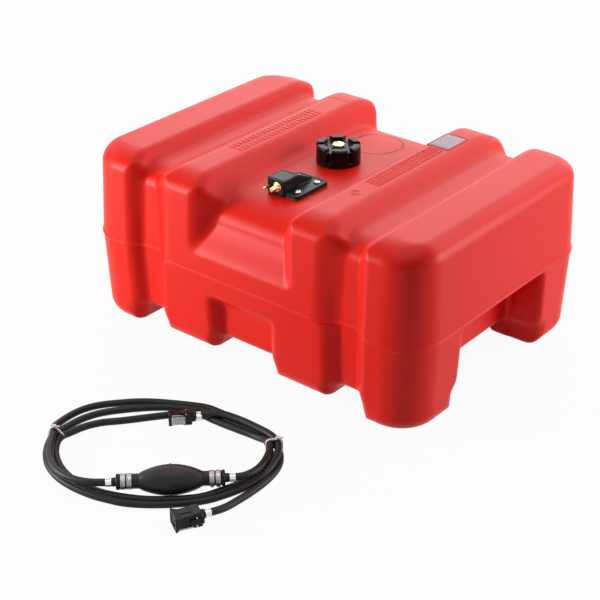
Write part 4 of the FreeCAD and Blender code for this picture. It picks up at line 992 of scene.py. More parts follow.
    def build(self) -> None:
        """Make and dress the tank's pieces."""
        self.skin().piece("tank_skin", Finish.TANK, "tank", "tank_shell")
        self.filler_neck().piece("filler_neck", Finish.TANK, "tank")
        self.grip_bars().piece("grip_bars", Finish.TANK, "tank")
        self.mould_mark().piece("mould_mark", Finish.TANK, "tank")
        self.plate_frame().piece("plate_frame", Finish.TANK, "tank")
        self.plate().piece("blank_plate", Finish.LABEL, "tank", "label_plate")


# ---------------------------------------------------------------- the filler cap
@dataclass
class FillerCap:
    """The black screw cap with six lobes round a dished top, and its vent screw."""

    axis: Pair = (-12.0, 23.0)
    base: float = 262.4
    top: float = 291.9
    radius: float = 35.5
    dish: float = 23.0
    dish_floor: float = 285.1
    lobes: int = 6
    first_slot: float = 41.0
    slot_half: float = 3.4
    slot_depth: float = 5.6
    slot_foot: float = 270.2
    hollow: float = 28.7
    hollow_top: float = 280.6
    vent_radius: float = 9.1
    vent_head: Pair = (286.7, 290.8)
    vent_foot: float = 277.5
    knurls: int = 30
    knurl_depth: float = 0.18
    coin_slot: Pair = (0.8, 1.6)
    coin_way: Pair = (0.5, 0.866)
    shank: float = 3.6
    swell: float = 0.9
    swell_over: float = 14.0
    draft: float = 0.012
    gap_inner: float = 18.0
    collar: float = 12.0
    vent_bore: float = 3.2
    washer: Tuple[float, ...] = (3.7, 9.0, 285.2, 286.6)

    def slot_place(self, x: Grid, y: Grid) -> Tuple[Grid, Grid]:
        """Place along and across the nearest slot's line from the axis."""
        step = 2 * math.pi / self.lobes
        angle = np.arctan2(y, x) - math.radians(self.first_slot)
        angle = (angle + step / 2) % step - step / 2
        away = np.hypot(x, y)
        return away * np.cos(angle), np.abs(away * np.sin(angle))

    def form(self, x: Grid, y: Grid, z: Grid) -> Grid:
        """The cap as a field, about its own axis."""
        away = np.hypot(x, y)
        along, across = self.slot_place(x, y)
        swell = self.swell * np.clip(across / self.swell_over, 0, 1) ** 0.6
        side = away - (self.radius - self.swell + swell) + self.draft * (z - self.base)
        form = smooth_max(side, z - self.top, 3.2)
        form = smooth_max(form, self.base - z, 1.4)
        slot = common(1.0, across - self.slot_half, self.radius - self.slot_depth - along,
                      self.slot_foot - z)
        form = cut(form, slot, 1.8)
        gap = common(1.0, across - self.slot_half - 1.2, self.gap_inner - along,
                     self.dish_floor + 0.3 - z)
        form = cut(form, gap, 1.0)
        form = cut(form, smooth_max(away - self.dish, self.dish_floor - z, 2.0), 1.4)
        form = cut(form, smooth_max(away - self.hollow, z - self.hollow_top, 1.0), 0.8)
        collar = smooth_max(away - self.collar, z - (self.dish_floor + 0.8), 0.6)
        form = np.minimum(form, np.maximum(collar, self.dish_floor - 1.0 - z))
        return cut(form, np.maximum(away - self.vent_bore, self.hollow_top - 0.6 - z), 0.3)

    def vent_form(self, x: Grid, y: Grid, z: Grid) -> Grid:
        """The vent screw's head, knurled, with a coin slot and a short shank."""
        away = np.hypot(x, y)
        low, high = self.vent_head
        knurl = self.knurl_depth * np.cos(np.arctan2(y, x) * self.knurls)
        head = common(0.7, away - self.vent_radius + knurl, z - high, low - z)
        (way_x, way_y), (half, depth) = self.coin_way, self.coin_slot
        slot = np.maximum(np.abs(way_x * x + way_y * y) - half, high - depth - z)
        shank = common(0.4, away - self.shank, z - 288, self.vent_foot - z)
        return np.minimum(cut(head, slot, 0.25), shank)

    def build(self) -> None:
        """Make and dress the cap, its vent and the vent's washer."""
        place = shifted(*self.axis)
        spans = (-36, 36, -36, 36, self.base, self.top)
        cap = FieldMesher.even(self.form, spans, 0.75).moved(place)
        cap.piece("filler_cap", Finish.CAP, "cap", "cap_shell")
        spans = (-9.5, 9.5, -9.5, 9.5, self.vent_foot, self.vent_head[1])
        vent = FieldMesher.even(self.vent_form, spans, 0.32).moved(place)
        vent.piece("vent_knob", Finish.BRASS, "vent_screw", "vent_screw")
        inner, outer, low, high = self.washer
        ring = arcs([(inner, low, 0), (outer, low, 0.4), (outer, high, 0.4), (inner, high, 0)], 3, True)
        washer = lathe(ring, 64, True).moved(place)
        washer.piece("vent_washer", Finish.SEAL, "cap", "vent_seal")


# ---------------------------------------------------------------- the withdrawal fitting
@dataclass
class WithdrawalFitting:
    """The black plate, ramp and block with the brass nipple, the pin and four screws."""

    plate: Tuple[float, ...] = (-25.0, 33.0, -134.0, -58.0, 264.0, 269.0)
    plate_corner: float = 6.0
    gasket_foot: float = 262.0
    block: Tuple[float, ...] = (-22.5, 10.5, -137.0, -101.0, 262.6, 289.0)
    ramp: Tuple[float, ...] = (-20.0, 8.0, -100.6, -67.0)
    ramp_top: float = 287.5
    ramp_drop: float = 17.0
    window: Tuple[float, ...] = (-13.0, 1.0, -96.0, -75.0)
    boss_radius: float = 7.0
    seat_radius: float = 5.9
    head_room: Pair = (5.6, 274.2)
    face_half: float = 8.4
    face_height: float = 277.6
    nipple_bore: Pair = (4.05, -122.0)
    pin_bore: Pair = (2.25, -126.0)
    screws: Tuple[Pair, ...] = ((-14, -118.5), (22, -118.5), (-14, -73.5), (22, -73.5))
    nipple: Point = (-2.0, -137.0, 277.0)
    pin: Point = (-15.0, -137.0, 277.0)

    def plate_form(self, x: Grid, y: Grid, z: Grid) -> Grid:
        """The plate with its raised edge and the ramp behind the block."""
        x0, x1, y0, y1, low, high = self.plate
        plan = common(self.plate_corner, between(x, x0, x1), between(y, y0, y1))
        form = common(0.9, plan, z - high, low - z)
        screw_x, screw_y = self.screws[1]
        boss = self.boss_radius - np.hypot(x - screw_x, y - screw_y)
        form = cut(form, np.maximum(np.maximum(plan + 4.5, high - 0.7 - z), boss), 0.4)
        rx0, rx1, ry0, ry1 = self.ramp
        slope = slant(y, z, (ry0, self.ramp_top), (self.ramp_drop, ry1 - ry0))
        ramp = common(1.2, between(x, rx0, rx1), between(y, ry0, ry1), slope, low + 1 - z)
        wx0, wx1, wy0, wy1 = self.window
        window = common(0.6, between(x, wx0, wx1), between(y, wy0, wy1), -slope - 1.1)
        form = smooth_min(form, cut(ramp, window, 0.5), 1.2)
        for sx, sy in self.screws:
            seat = np.maximum(np.hypot(x - sx, y - sy) - self.seat_radius, high - 0.1 - z)
            form = cut(form, seat, 0.4)
        return form

    def block_form(self, x: Grid, y: Grid, z: Grid) -> Grid:
        """The moulded block that carries the nipple."""
        x0, x1, y0, y1, low, high = self.block
        plan = common(2.6, between(x, x0, x1), between(y, y0, y1))
        form = common(2.2, plan, z - high, low - z)
        plate_front, plate_top = self.plate[2] - 0.8, self.plate[5] + 0.15
        under = np.maximum(np.maximum(plate_front - y, z - plate_top), -26.0 - x)
        form = cut(form, under, 0.4)
        face = common(0.8, np.abs(x - self.nipple[0]) - self.face_half,
                      np.abs(z - self.face_height) - self.face_half, y - (y0 + 0.9))
        form = cut(form, face, 0.5)
        rail = common(0.6, between(x, x0 + 3.2, x1 - 3.2), between(y, y0 + 7, y1 - 4.5),
                      high - 0.5 - z)
        form = cut(form, rail, 0.5)
        room_radius, room_top = self.head_room
        for sx, sy in self.screws[:2]:
            room = np.maximum(np.hypot(x - sx, y - sy) - room_radius, z - room_top)
            form = cut(form, room, 0.4)
        for at, (radius, end) in ((self.nipple, self.nipple_bore), (self.pin, self.pin_bore)):
            at_x, _, at_z = at
            bore = np.maximum(np.hypot(x - at_x, z - at_z) - radius, y - end)
            form = cut(form, bore, 0.2)
        return form

    @staticmethod
    def screw_form(x: Grid, y: Grid, z: Grid) -> Grid:
        """A pan head with a cross recess, standing on z 0."""
        away = np.hypot(x, y)
        dome = np.hypot(away, z + 4.5) - 7.5
        head = common(0.5, away - 4.7, dome, -0.2 - z)
        arms = [np.maximum(np.abs(u) - 0.62, np.abs(v) - 2.7) for u, v in ((x, y), (y, x))]
        return cut(head, np.maximum(np.minimum(*arms), 1.3 - z), 0.2)

    @staticmethod
    def turned(corners: Corners, at: Point, steps: int) -> Shape:
        """A turned part that points forwards from the block's face."""
        return lathe(arcs(corners, 4), steps).moved(frame_along(at, (0, -1, 0)))

    def nipple_shape(self) -> Shape:
        """The brass nipple: collar, groove for the latch and chamfered nose."""
        return self.turned([
            (4.0, -13.0, 0), (4.0, 0.0, 0.2), (7.6, 0.0, 0.3), (7.6, 1.3, 0.4), (6.5, 1.6, 0.3),
            (6.5, 4.0, 0.6), (4.0, 4.0, 0.3), (4.0, 7.5, 0.3), (3.3, 8.2, 0.3), (3.3, 9.8, 0.3),
            (4.0, 10.5, 0.3), (4.0, 13.8, 0.5), (2.8, 15.0, 0.4), (2.0, 15.0, 0.2),
            (2.0, 13.0, 0.0), (2.6, 13.0, 0.0), (2.6, -12.0, 0),
        ], self.nipple, 56)

    def gasket(self) -> Shape:
        """The rubber gasket under the plate, its edge pressed out a little."""
        x0, x1, y0, y1, high, _ = self.plate
        outline = oblong((x1 - x0) / 2, (y1 - y0) / 2, self.plate_corner, 6)
        low = self.gasket_foot
        layers = ((1.0, low), (1.006, low + 0.5), (1.006, high - 0.4), (1.0, high))
        rings = [[(u * s, v * s, z) for u, v in outline] for s, z in layers]
        return stacked(rings).moved(shifted((x0 + x1) / 2, (y0 + y1) / 2))

    def screw_heads(self) -> Shape:
        """The four screw heads, each turned to its own angle."""
        head = FieldMesher.even(self.screw_form, (-5, 5, -5, 5, 0, 3.2), 0.3)
        return together([
            head.moved(shifted(x, y, self.plate[5]) @ Matrix.Rotation(math.radians(17 + 31 * k), 4, "Z"))
            for k, (x, y) in enumerate(self.screws)])

    def build(self) -> None:
        """Make and dress the fitting."""
        self.gasket().piece("fitting_gasket", Finish.SEAL, "tank", "flange_gasket")
        plate = FieldMesher.even(self.plate_form, (*self.plate[:5], 288), 0.7)
        plate.piece("fitting_plate", Finish.FITTING, "tank", "connector_flange")
        block = FieldMesher.even(self.block_form, self.block, 0.6)
        block.piece("fitting_block", Finish.FITTING, "tank", "connector_block")
        self.screw_heads().piece("flange_screw_heads", Finish.STEEL, "tank", "flange_screws")
        self.nipple_shape().piece("brass_nipple", Finish.BRASS, "tank", "fuel_nipple")
        shank = [(2.2, -10.0, 0), (2.2, 13.4, 0.4), (1.9, 13.7, 0.1), (0.0, 13.7, 0.0)]
        self.turned(shank, self.pin, 40).piece("guide_pin", Finish.DARK_BRASS, "tank", "locating_pin")
        tip = [(2.0, 13.5, 0), (2.15, 14.0, 0.5), (1.0, 16.8, 0.6), (0.0, 17.0, 0.0)]
        self.turned(tip, self.pin, 40).piece("guide_pin_tip", Finish.BRASS, "tank", "locating_pin")


# ---------------------------------------------------------------- the fuel line
class Side(Enum):
    """The two ends of the primer bulb, as the fuel flows."""

    INLET = 1
    OUTLET = -1


@dataclass
class PrimerBulb:
    """The black squeeze bulb with its valves, bands and crimped hose clamps."""

    start: Point = (73.5, -574.7, 22.0)
    bearing: float = 43.0
    body: float = 84.0
    body_start: float = 36.0
    radius: float = 21.3
    neck: float = 10.5
    sleeve: float = 10.0
    sleeve_start: float = 10.0
    band_pitch: float = 8.5
    lug_angle: float = 205.0

    @property
    def way(self) -> Vector:
        """Direction of the flow."""
        return Vector(heading(self.bearing))

    @property
    def far(self) -> Vector:
        """Where the outlet meets its hose."""
        return Vector(self.start) + self.way * (2 * self.body_start + self.body)

    def end(self, side: Side) -> Matrix:
        """A placement at one end, its Z axis pointing into the bulb."""
        at = Vector(self.start) if side is Side.INLET else self.far
        return frame_along(at, self.way * side.value)

    def bulb_shape(self, steps: int = 40) -> Shape:
        """The squeeze bulb: ribbed sleeves, a full body and a moulded ridge round its middle."""
        low, middle = self.sleeve_start, self.body_start + self.body / 2
        profile: List[Pair] = [(8.4, low + 0.2), (self.sleeve - 0.4, low + 0.1), (self.sleeve, low + 0.6)]
        for at in self.body_start + np.array((-9.0, -6.0, -3.0)):
            profile += [(self.sleeve, at - 0.9), (self.sleeve + 0.5, at - 0.4),
                        (self.sleeve + 0.5, at + 0.4), (self.sleeve, at + 0.9)]
        for k in range(steps // 2):
            bulge = math.sin(math.pi * k / steps) ** 0.8
            at = self.body_start + self.body * k / steps
            if at < middle - 1.7:
                profile.append((self.neck + (self.radius - self.neck) * bulge, at))
        profile += [(self.radius - 0.05, middle - 1.5), (self.radius + 0.55, middle - 1.1),
                    (self.radius + 0.7, middle - 0.6)]
        mirror = [(r, 2 * middle - h) for r, h in reversed(profile)]
        return lathe(profile + mirror, 96).moved(self.end(Side.INLET))

    def valve_shape(self, side: Side) -> Shape:
        """One valve: the barb's base and the round shoulder with a rolled edge."""
        profile = arcs([
            (2.4, -0.2, 0), (5.6, -0.2, 0.4), (6.2, 0.3, 0.3), (6.2, 4.6, 0.6), (9.8, 5.0, 0.5),
            (11.0, 6.0, 0.8), (11.0, 9.4, 0.9), (9.6, 10.1, 0.3), (8.4, 10.1, 0),
        ], 4)
        return lathe(profile, 72).moved(self.end(side))

    def band_shape(self, side: Side) -> Shape:
        """Two crimped bands with pressed beads and a folded lug each."""
        half = [(10.1, 0.0, 0.2), (11.0, 0.0, 0.3), (11.1, 1.2, 0.3), (10.75, 1.9, 0.3),
                (10.75, 2.7, 0.3)]
        profile = half + [(11.2, 3.25, 0.3)] + [(r, 6.5 - h, soft) for r, h, soft in half[::-1]]
        lug = bevelled((10.9, 12.2, -2.4, 2.4, 0.9, 5.6), 0.5)
        lug = lug.moved(Matrix.Rotation(math.radians(self.lug_angle), 4, "Z"))
        band = together([lathe(arcs(profile, 3, True), 96, True), lug])
        places = [shifted(0, 0, 11.0 + self.band_pitch * k) for k in range(2)]
        return together([band.moved(place) for place in places]).moved(self.end(side))

    def build(self) -> Dict[Side, List[bpy.types.Object]]:
        """Make and dress the bulb's pieces and return those at each end."""
        self.bulb_shape().piece("squeeze_bulb", Finish.BULB, "fuel_line", "primer_bulb")
        made = {}
        for side in Side:
            name = side.name.lower()
            made[side] = [
                self.valve_shape(side).piece(f"{name}_valve_body", Finish.FITTING, "fuel_line",
                                             f"{name}_valve"),
                self.band_shape(side).piece(f"{name}_bands", Finish.BAND, "fuel_line", "bulb_bands"),
            ]
        return made


@dataclass
class HoseConnector:
    """A push-on connector: housing, latch lever and the parts that show in its mouth."""

    prefix: str
    at: Point
    bearing: float
    size: Point
    on_side: bool
    has_guide: bool
    tagged: bool = False
    collar: float = 5.0
    port_depth: float = 18.0
    guide_offset: float = 6.5
    port_radius: float = 4.1
    lip_radius: float = 5.6
    guide_radius: float = 2.5
    face_margin: float = 2.6
    latch_length: float = 17.0
    latch_half: float = 4.5
    latch_room: float = 0.5
    hub_offset: float = 8.5
    hub_radius: float = 2.2
    eye_radius: float = 1.25

    @property
    def halves(self) -> Point:
        """Half of the length, the width and the height."""
        return tuple(v / 2 for v in self.size)

    @property
    def place(self) -> Matrix:
        """Where the housing lies: its X axis runs to the hose, its latch is on its -Y side."""
        _, half, high = self.halves
        turn = Matrix.Rotation(math.radians(self.bearing), 4, "Z")
        roll = Matrix.Rotation(math.radians(-90 if self.on_side else 0), 4, "X")
        rise = Vector((0, 0, half if self.on_side else high))
        return Matrix.Translation(Vector(self.at) + rise) @ turn @ roll

    @property
    def hose_start(self) -> Vector:
        """Where the hose meets the collar."""
        return self.place @ Vector((self.halves[0] + self.collar, 0, 0))

    def form(self, x: Grid, y: Grid, z: Grid) -> Grid:
        """The housing as a field, about its own middle."""
        end, half, high = self.halves
        form = self.shell(x, y, z)
        for k in range(3):
            groove = common(0.3, np.abs(x - end + 3.4 + 2.6 * k) - 0.55, half - 0.7 - y)
            form = cut(form, groove, 0.3)
        notch = np.maximum(np.maximum(between(x, -end + 5.0, end - 13.0), y + half - 3.2),
                           z + high - 5.2)
        form = cut(form, notch, 0.6)
        collar = common(0.7, np.hypot(y, z) - 7.0, between(x, end - 2, end + self.collar))
        form = smooth_min(form, collar, 0.8)
        port = -self.guide_offset if self.has_guide else 0.0
        blind = x + end - self.port_depth
        form = cut(form, np.maximum(np.hypot(y - port, z) - self.port_radius, blind), 0.5)
        margin = self.face_margin
        face = common(0.5, np.abs(y) - half + margin, np.abs(z) - high + margin, x + end - 1.0)
        form = cut(form, np.maximum(face, self.lip_radius - np.hypot(y - port, z)), 0.4)
        if self.has_guide:
            form = cut(form, np.maximum(np.hypot(y + port, z) - self.guide_radius, blind), 0.3)
        low, room = end - self.latch_length, self.latch_room
        beside = np.abs(z) - self.latch_half - room
        pocket = np.maximum(np.maximum(between(x, low - room, end + 1), y + half - 2.5), beside)
        form = cut(form, pocket, 0.4)
        away = np.hypot(x - low - self.hub_offset, y + half - 0.5)
        return cut(form, np.maximum(away - self.hub_radius - room, beside), 0.2)

    def shell(self, x: Grid, y: Grid, z: Grid) -> Grid:
        """The housing's outside: waist, rim round the mouth, hump over the hose and crest."""
        end, half, high = self.halves
        waist = 1.1 * np.clip((x + end - 5) / 4, 0, 1) * np.clip((end - 12 - x) / 3, 0, 1)
        form = common(2.4, between(x, -end, end), np.abs(y) - half + waist,
                      np.abs(z) - high + waist)
        side = half if self.on_side else half + 1.2
        rim = common(0.8, between(x, -end, -end + 3.5), between(y, -side, half),
                     between(z, -high, high + 1.2))
        hump = common(1.4, between(x, end - 13, end - 1.0), np.abs(y) - half + 2.0,
                      between(z, 0, high + 1.0))
        crest = common(0.7, between(x, -end + 5, end - 13), np.abs(y) - 2.4, between(z, 0, high + 0.2))
        for part, crease in ((rim, 0.6), (hump, 1.0), (crest, 0.6)):
            form = smooth_min(form, part, crease)
        return form

    def lever_form(self, x: Grid, y: Grid, z: Grid) -> Grid:
        """The latch lever: a thin paddle with thumb ridges and a hub."""
        end, half, _ = self.halves
        low = end - self.latch_length
        beside = np.abs(z) - self.latch_half
        paddle = common(0.6, between(x, low, end + 1.5), between(y, -half - 1.5, -half + 0.5), beside)
        for k in range(4):
            ridge = np.maximum(np.abs(x - end + 0.6 + 1.9 * k) - 0.4, y + half + 1.1)
            paddle = cut(paddle, ridge, 0.25)
        away = np.hypot(x - low - self.hub_offset, y + half - 0.5)
        hub = common(0.4, away - self.hub_radius, beside)
        return cut(smooth_min(paddle, hub, 0.5), away - self.eye_radius, 0.1)

    def build(self) -> List[bpy.types.Object]:
        """Make and dress the connector's pieces and return them."""
        end, half, high = self.halves
        spans = (-end, end + self.collar, -half - 1.2, half, -high, high + 1.2)
        body = FieldMesher.even(self.form, spans, 0.5)
        spans = (end - self.latch_length, end + 1.5, -half - 1.5, -half + 2.8,
                 -self.latch_half, self.latch_half)
        lever = FieldMesher.even(self.lever_form, spans, 0.34)
        strip = bevelled((-end + 5.2, end - 13.2, -half + 0.9, -half + 1.7, -high + 0.8, -high + 3.4),
                         0.25, 2)
        node = f"{self.prefix}_lever"
        made = [
            body.moved(self.place).piece(f"{self.prefix}_housing", Finish.FITTING, "fuel_line",
                                         f"{self.prefix}_body"),
            lever.moved(self.place).piece(f"{self.prefix}_latch", Finish.FITTING, node, node),
            strip.moved(self.place).piece(f"{self.prefix}_spring", Finish.BAND, "fuel_line"),
        ]
        return made + ([self.tag()] if self.tagged else [])

    def tag(self, rows: int = 12, columns: int = 8, thickness: float = 0.35) -> bpy.types.Object:
        """The blank white film wrapped on the housing's side."""
        end, half, high = self.halves
        points = [(x, y, -high - thickness + 0.12 * math.sin(x * 0.9) * math.sin(y * 0.7))
                  for x in np.linspace(-end + 4.5, -end + 24.0, rows)
                  for y in np.linspace(-half + 2.5, half - 2.5, columns)]
        film = sheet(rows, columns, points, turned=True).moved(self.place)
        made = film.piece("white_tag", Finish.TAG, "fuel_line", "blank_tag")
        solid = made.modifiers.new("thickness", "SOLIDIFY")
        solid.thickness = thickness * MM
        solid.offset = -1.0
        return made


@dataclass
class FuelHose:
    """One length of black hose on a smooth curve through its lay, in millimetres."""

    name: str
    points: Tuple[Point, ...]
    length: float
    far_end: str
    nodes: Tuple[str, ...]
    radius: float = 5.3

    def build(self, pieces: Sequence[bpy.types.Object]) -> None:
        curve = bpy.data.curves.new(self.name, "CURVE")
        curve.dimensions = "3D"
        curve.resolution_u = 10
        curve.bevel_depth = self.radius * MM
        curve.bevel_resolution = 6
        curve.use_fill_caps = True
        spline = curve.splines.new("NURBS")
        spline.points.add(len(self.points) - 1)
        for place, (x, y, z) in zip(spline.points, self.points):
            place.co = (x * MM, y * MM, z * MM, 1.0)
        spline.order_u = 3
        spline.use_endpoint_u = True
        curve.materials.append(Finish.HOSE.material)
        hose = linked(self.name, curve)
        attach(hose, "fuel_line")
        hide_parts(*self.nodes)
        start = tuple(c * MM for c in self.points[0])
        log.info("%s: hose of %.2f m, rides on fuel_line", self.name, self.length)


@dataclass
class CableTie:
    """A white nylon tie drawn round the hoses that lie at one place."""

    name: str
    at: Pair
    across: Pair
    hoses: Tuple[Pair, ...]
    hose_radius: float = 5.35
    thickness: float = 1.5
    width: float = 3.6

    def loop(self, grow: float, along: float, steps: int = 72) -> List[Point]:
        """The tight loop round the hoses' circles, grown outwards."""
        found = []
        for k in range(steps):
            angle = 2 * math.pi * k / steps
            n = (math.cos(angle), math.sin(angle))
            u, z = max(self.hoses, key=lambda c: c[0] * n[0] + c[1] * n[1])
            reach = self.hose_radius + grow
            found.append((u + reach * n[0], along, max(z + reach * n[1], 0.05)))
        return found

    def build(self) -> bpy.types.Object:
        """Make the band, its head and its tail, and return the piece."""
        half = self.width / 2
        layers = ((0.0, -half), (self.thickness, -half + 0.3), (self.thickness, half - 0.3),
                  (0.0, half))
        rings = [self.loop(*layer) for layer in layers]
        u, _, z = max(rings[1], key=lambda p: p[2] - 0.05 * abs(p[0]))
        head = bevelled((u - 3.0, u + 3.0, -2.7, 2.7, z - 1.0, z + 2.6), 0.7)
        tail = bevelled((u + 2.6, u + 8.0, -1.3, 1.3, z + 0.2, z + 1.2), 0.3, 2)
        turn = Matrix.Rotation(math.atan2(self.across[1], self.across[0]), 4, "Z")
        shape = together([stacked(rings, joined=True, turned=True), head, tail])
        return shape.moved(shifted(*self.at) @ turn).piece(
            self.name, Finish.NYLON, "fuel_line", "coil_ties")


@dataclass
class FuelLine:
    """The coiled fuel line with its bulb, connectors, clamps and ties."""

    bulb: PrimerBulb = field(default_factory=PrimerBulb)
    tank_end: HoseConnector = field(default_factory=lambda: HoseConnector(
        "tank_connector", (193.0, -558.0, 0.0), 60.0, (38.0, 26.0, 21.0), False, True))
    engine_end: HoseConnector = field(default_factory=lambda: HoseConnector(
        "engine_connector", (24.0, -390.0, 0.0), 45.0, (34.0, 18.0, 17.0), True, False, True))

    @staticmethod
    def clamp(name: str, at: Vector, way: Vector) -> bpy.types.Object:
        """A crimped ear clamp that starts 1 mm along the hose from a fitting.

        Args:
            name: what it stands beside.
            at: where the hose leaves the fitting.
            way: the hose's direction there.

        Returns:
            The piece.
        """
        half = [(5.35, 0.0, 0.1), (6.1, 0.0, 0.3), (6.25, 1.0, 0.3), (6.0, 1.7, 0.2)]
        profile = half + [(r, 8.0 - h, soft) for r, h, soft in half[::-1]]
        parts = [lathe(arcs(profile, 3, True), 72, True),
                 bevelled((5.7, 7.9, -1.9, 1.9, 1.0, 7.0), 0.6),
                 bevelled((7.4, 8.3, -0.9, 0.9, 0.4, 7.6), 0.4)]
        shape = together(parts).moved(frame_along(at + way, way))
        return shape.piece(f"{name}_clamp", Finish.CLAMP, "fuel_line", "hose_clamps")

    def build(self) -> None:
        """Make and dress the whole fuel line."""
        bulb = self.bulb.build()
        ends = {end.prefix: end.build() for end in (self.tank_end, self.engine_end)}
        inlet_clamp = self.clamp("inlet", Vector(self.bulb.start), -self.bulb.way)
        outlet_clamp = self.clamp("outlet", self.bulb.far, self.bulb.way)
        end_clamps = {end.prefix: self.clamp(end.prefix, end.hose_start, Vector(heading(end.bearing)))
                      for end in (self.tank_end, self.engine_end)}
        ties = [
            CableTie("left_tie", (-83.0, -533.0), (0.829, 0.559),
                     ((-2.5, 15.6), (5.5, 6.2), (-5.5, 6.2))).build(),
            CableTie("right_tie", (177.0, -361.0), (0.669, 0.743),
                     ((-5.6, 16.2), (5.6, 16.3), (-5.6, 6.2), (5.6, 6.2))).build(),
        ]
        FuelHose("tank_hose", TANK_HOSE, 0.81, "fitting",
                 ("tank_lead", "bulb_inlet_hose", "hose_coil")).build(
            [*ends["tank_connector"], end_clamps["tank_connector"], inlet_clamp, *ties,
             *bulb[Side.INLET]])
        FuelHose("engine_hose", ENGINE_HOSE, 1.95, "connector",
                 ("bulb_outlet_hose", "engine_lead", "hose_coil")).build(
            [*ends["engine_connector"], outlet_clamp, end_clamps["engine_connector"],
             *bulb[Side.OUTLET]])


TANK_HOSE: Tuple[Point, ...] = (
    (205, -537.2, 10.5), (211.3, -526.3, 10.4), (215.6, -508, 8), (216, -489, 6),
    (217.5, -462, 5.4), (217.5, -430, 5.3), (213.5, -404, 5.3), (205.5, -383, 5.3),
    (194.5, -368.5, 5.6), (180.7, -356.8, 6.2), (163, -345, 5.6), (140, -336, 5.3),
    (108, -335, 5.3), (92, -337.8, 5.3), (59, -339.5, 5.3), (34, -341, 5.3), (18, -348, 5.3),
    (-5, -360, 5.3), (-31, -375, 5.3), (-55, -392, 5.3), (-76, -414, 5.3), (-94, -435, 5.3),
    (-105, -457, 5.3), (-108.5, -482, 5.3), (-105, -508, 6.5), (-99, -522, 10.5),
    (-85, -534.5, 15.6), (-70, -553, 15.8), (-51, -575, 15.8), (-25.5, -593.5, 16.6),
    (2, -602, 17.8), (30, -600.5, 19.5), (56, -591, 21.5), (73.5, -574.7, 22),
)

ENGINE_HOSE: Tuple[Point, ...] = (
    (187.6, -468.3, 22), (198.6, -457.6, 22), (203.5, -443.5, 21.4), (203.5, -428, 20.2),
    (199.5, -411, 18.8), (193, -395, 17.6), (184.5, -379.5, 16.8), (173.3, -365.2, 16.2),
    (158, -357.5, 11), (143, -354.5, 6.5), (126, -354, 5.3), (92, -358, 5.3), (59, -360.5, 5.3),
    (46, -360, 5.3), (34, -361.5, 5.3), (24, -368, 5.3), (12, -379.5, 5.3), (2, -392, 5.3),
    (-10, -407, 5.3), (-24, -425, 5.3), (-41, -447, 5.3), (-60, -467, 5.3), (-72, -492, 5.3),
    (-75, -513, 5.3), (-78.4, -529.9, 6.2), (-68, -548, 5.4), (-51, -564.5, 5.3),
    (-27, -579, 5.3), (0, -588, 5.3), (30, -590.5, 5.3), (62, -586, 5.3), (93, -574, 5.3),
    (122, -557.5, 5.3), (143, -539.5, 5.3), (160, -523.5, 5.3), (175, -505.5, 5.3),
    (184, -481, 5.3), (194, -452, 5.3), (198.5, -430, 5.3), (196, -408, 5.3), (189, -387, 5.5),
    (173.3, -365.2, 6.2), (157, -353, 5.4), (140, -345.5, 5.3), (108, -346, 5.3),
    (92, -348.4, 5.3), (59, -350, 5.3), (34, -351, 5.3), (24, -357, 5.3), (-3, -371, 5.3),
    (-21, -384, 5.3), (-43, -405, 5.3), (-62, -427, 5.3), (-80, -452, 5.3), (-89, -480, 5.3),
    (-90, -505, 5.3), (-90, -521, 5.6), (-87.6, -536.1, 6.2), (-77, -555, 5.4),
    (-60, -574, 5.3), (-37, -590, 5.3), (-8, -599.5, 5.3), (25, -601.5, 5.3), (58, -597.5, 5.3),
    (80, -590.5, 5.3), (99, -584.5, 5.3), (128, -566.5, 5.3), (160, -538, 5.3), (184, -509, 5.3),
    (196, -480, 5.3), (204, -455, 5.3), (208, -434, 6.5), (209, -414, 11.5), (205.5, -396, 14.2),
    (198, -379, 15.8), (190, -367, 16.3), (180.7, -356.8, 16.3), (167, -350.5, 16.3),
    (150, -347.5, 16.2), (130, -347, 16.2), (109, -347, 16.2), (92, -348.5, 16.2),
    (75, -351, 16.1), (63, -355.5, 15.6), (54, -361, 13), (46, -368, 9.8), (39.6, -374.4, 9),
)


# ---------------------------------------------------------------- parts that stay
@dataclass
class KeptParts:
    """CAD parts whose shape is right as it is: they only get their finish."""

    finishes: Tuple[Tuple[Finish, Tuple[str, ...]], ...] = (
        (Finish.SEAL, ("cap_gasket", "tank_connector_seal", "engine_connector_seal",
                       "inlet_valve_flap", "outlet_valve_flap")),
        (Finish.STEEL, ("nipple_spring", "tank_connector_lever_pin", "engine_connector_lever_pin")),
        (Finish.BRASS, ("nipple_poppet", "threaded_inserts")),
        (Finish.PICKUP, ("pickup_tube", "pickup_filter")),
    )

    def build(self) -> None:
        """Assign a material to each kept part."""
        for finish, nodes in self.finishes:
            for node in nodes:
                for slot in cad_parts[node].material_slots:
                    slot.material = finish.material
                log.info("%s: kept, dressed as %s", node, finish.title)


# ---------------------------------------------------------------- the studio
@dataclass(frozen=True)
class SoftBox:
    """One lamp: its place, what it faces, its size in metres and its power in watts."""

    name: str
    at: Point
    aim: Point
    size: Pair
    power: float

    def light(self) -> None:
        """Hang the lamp."""
        data = bpy.data.lights.new(self.name, "AREA")
        data.shape = "RECTANGLE"
        data.size, data.size_y = self.size
        data.energy = self.power
        lamp = linked(self.name, data)
        lamp.matrix_world = frame_along(self.at, Vector(self.at) - Vector(self.aim))


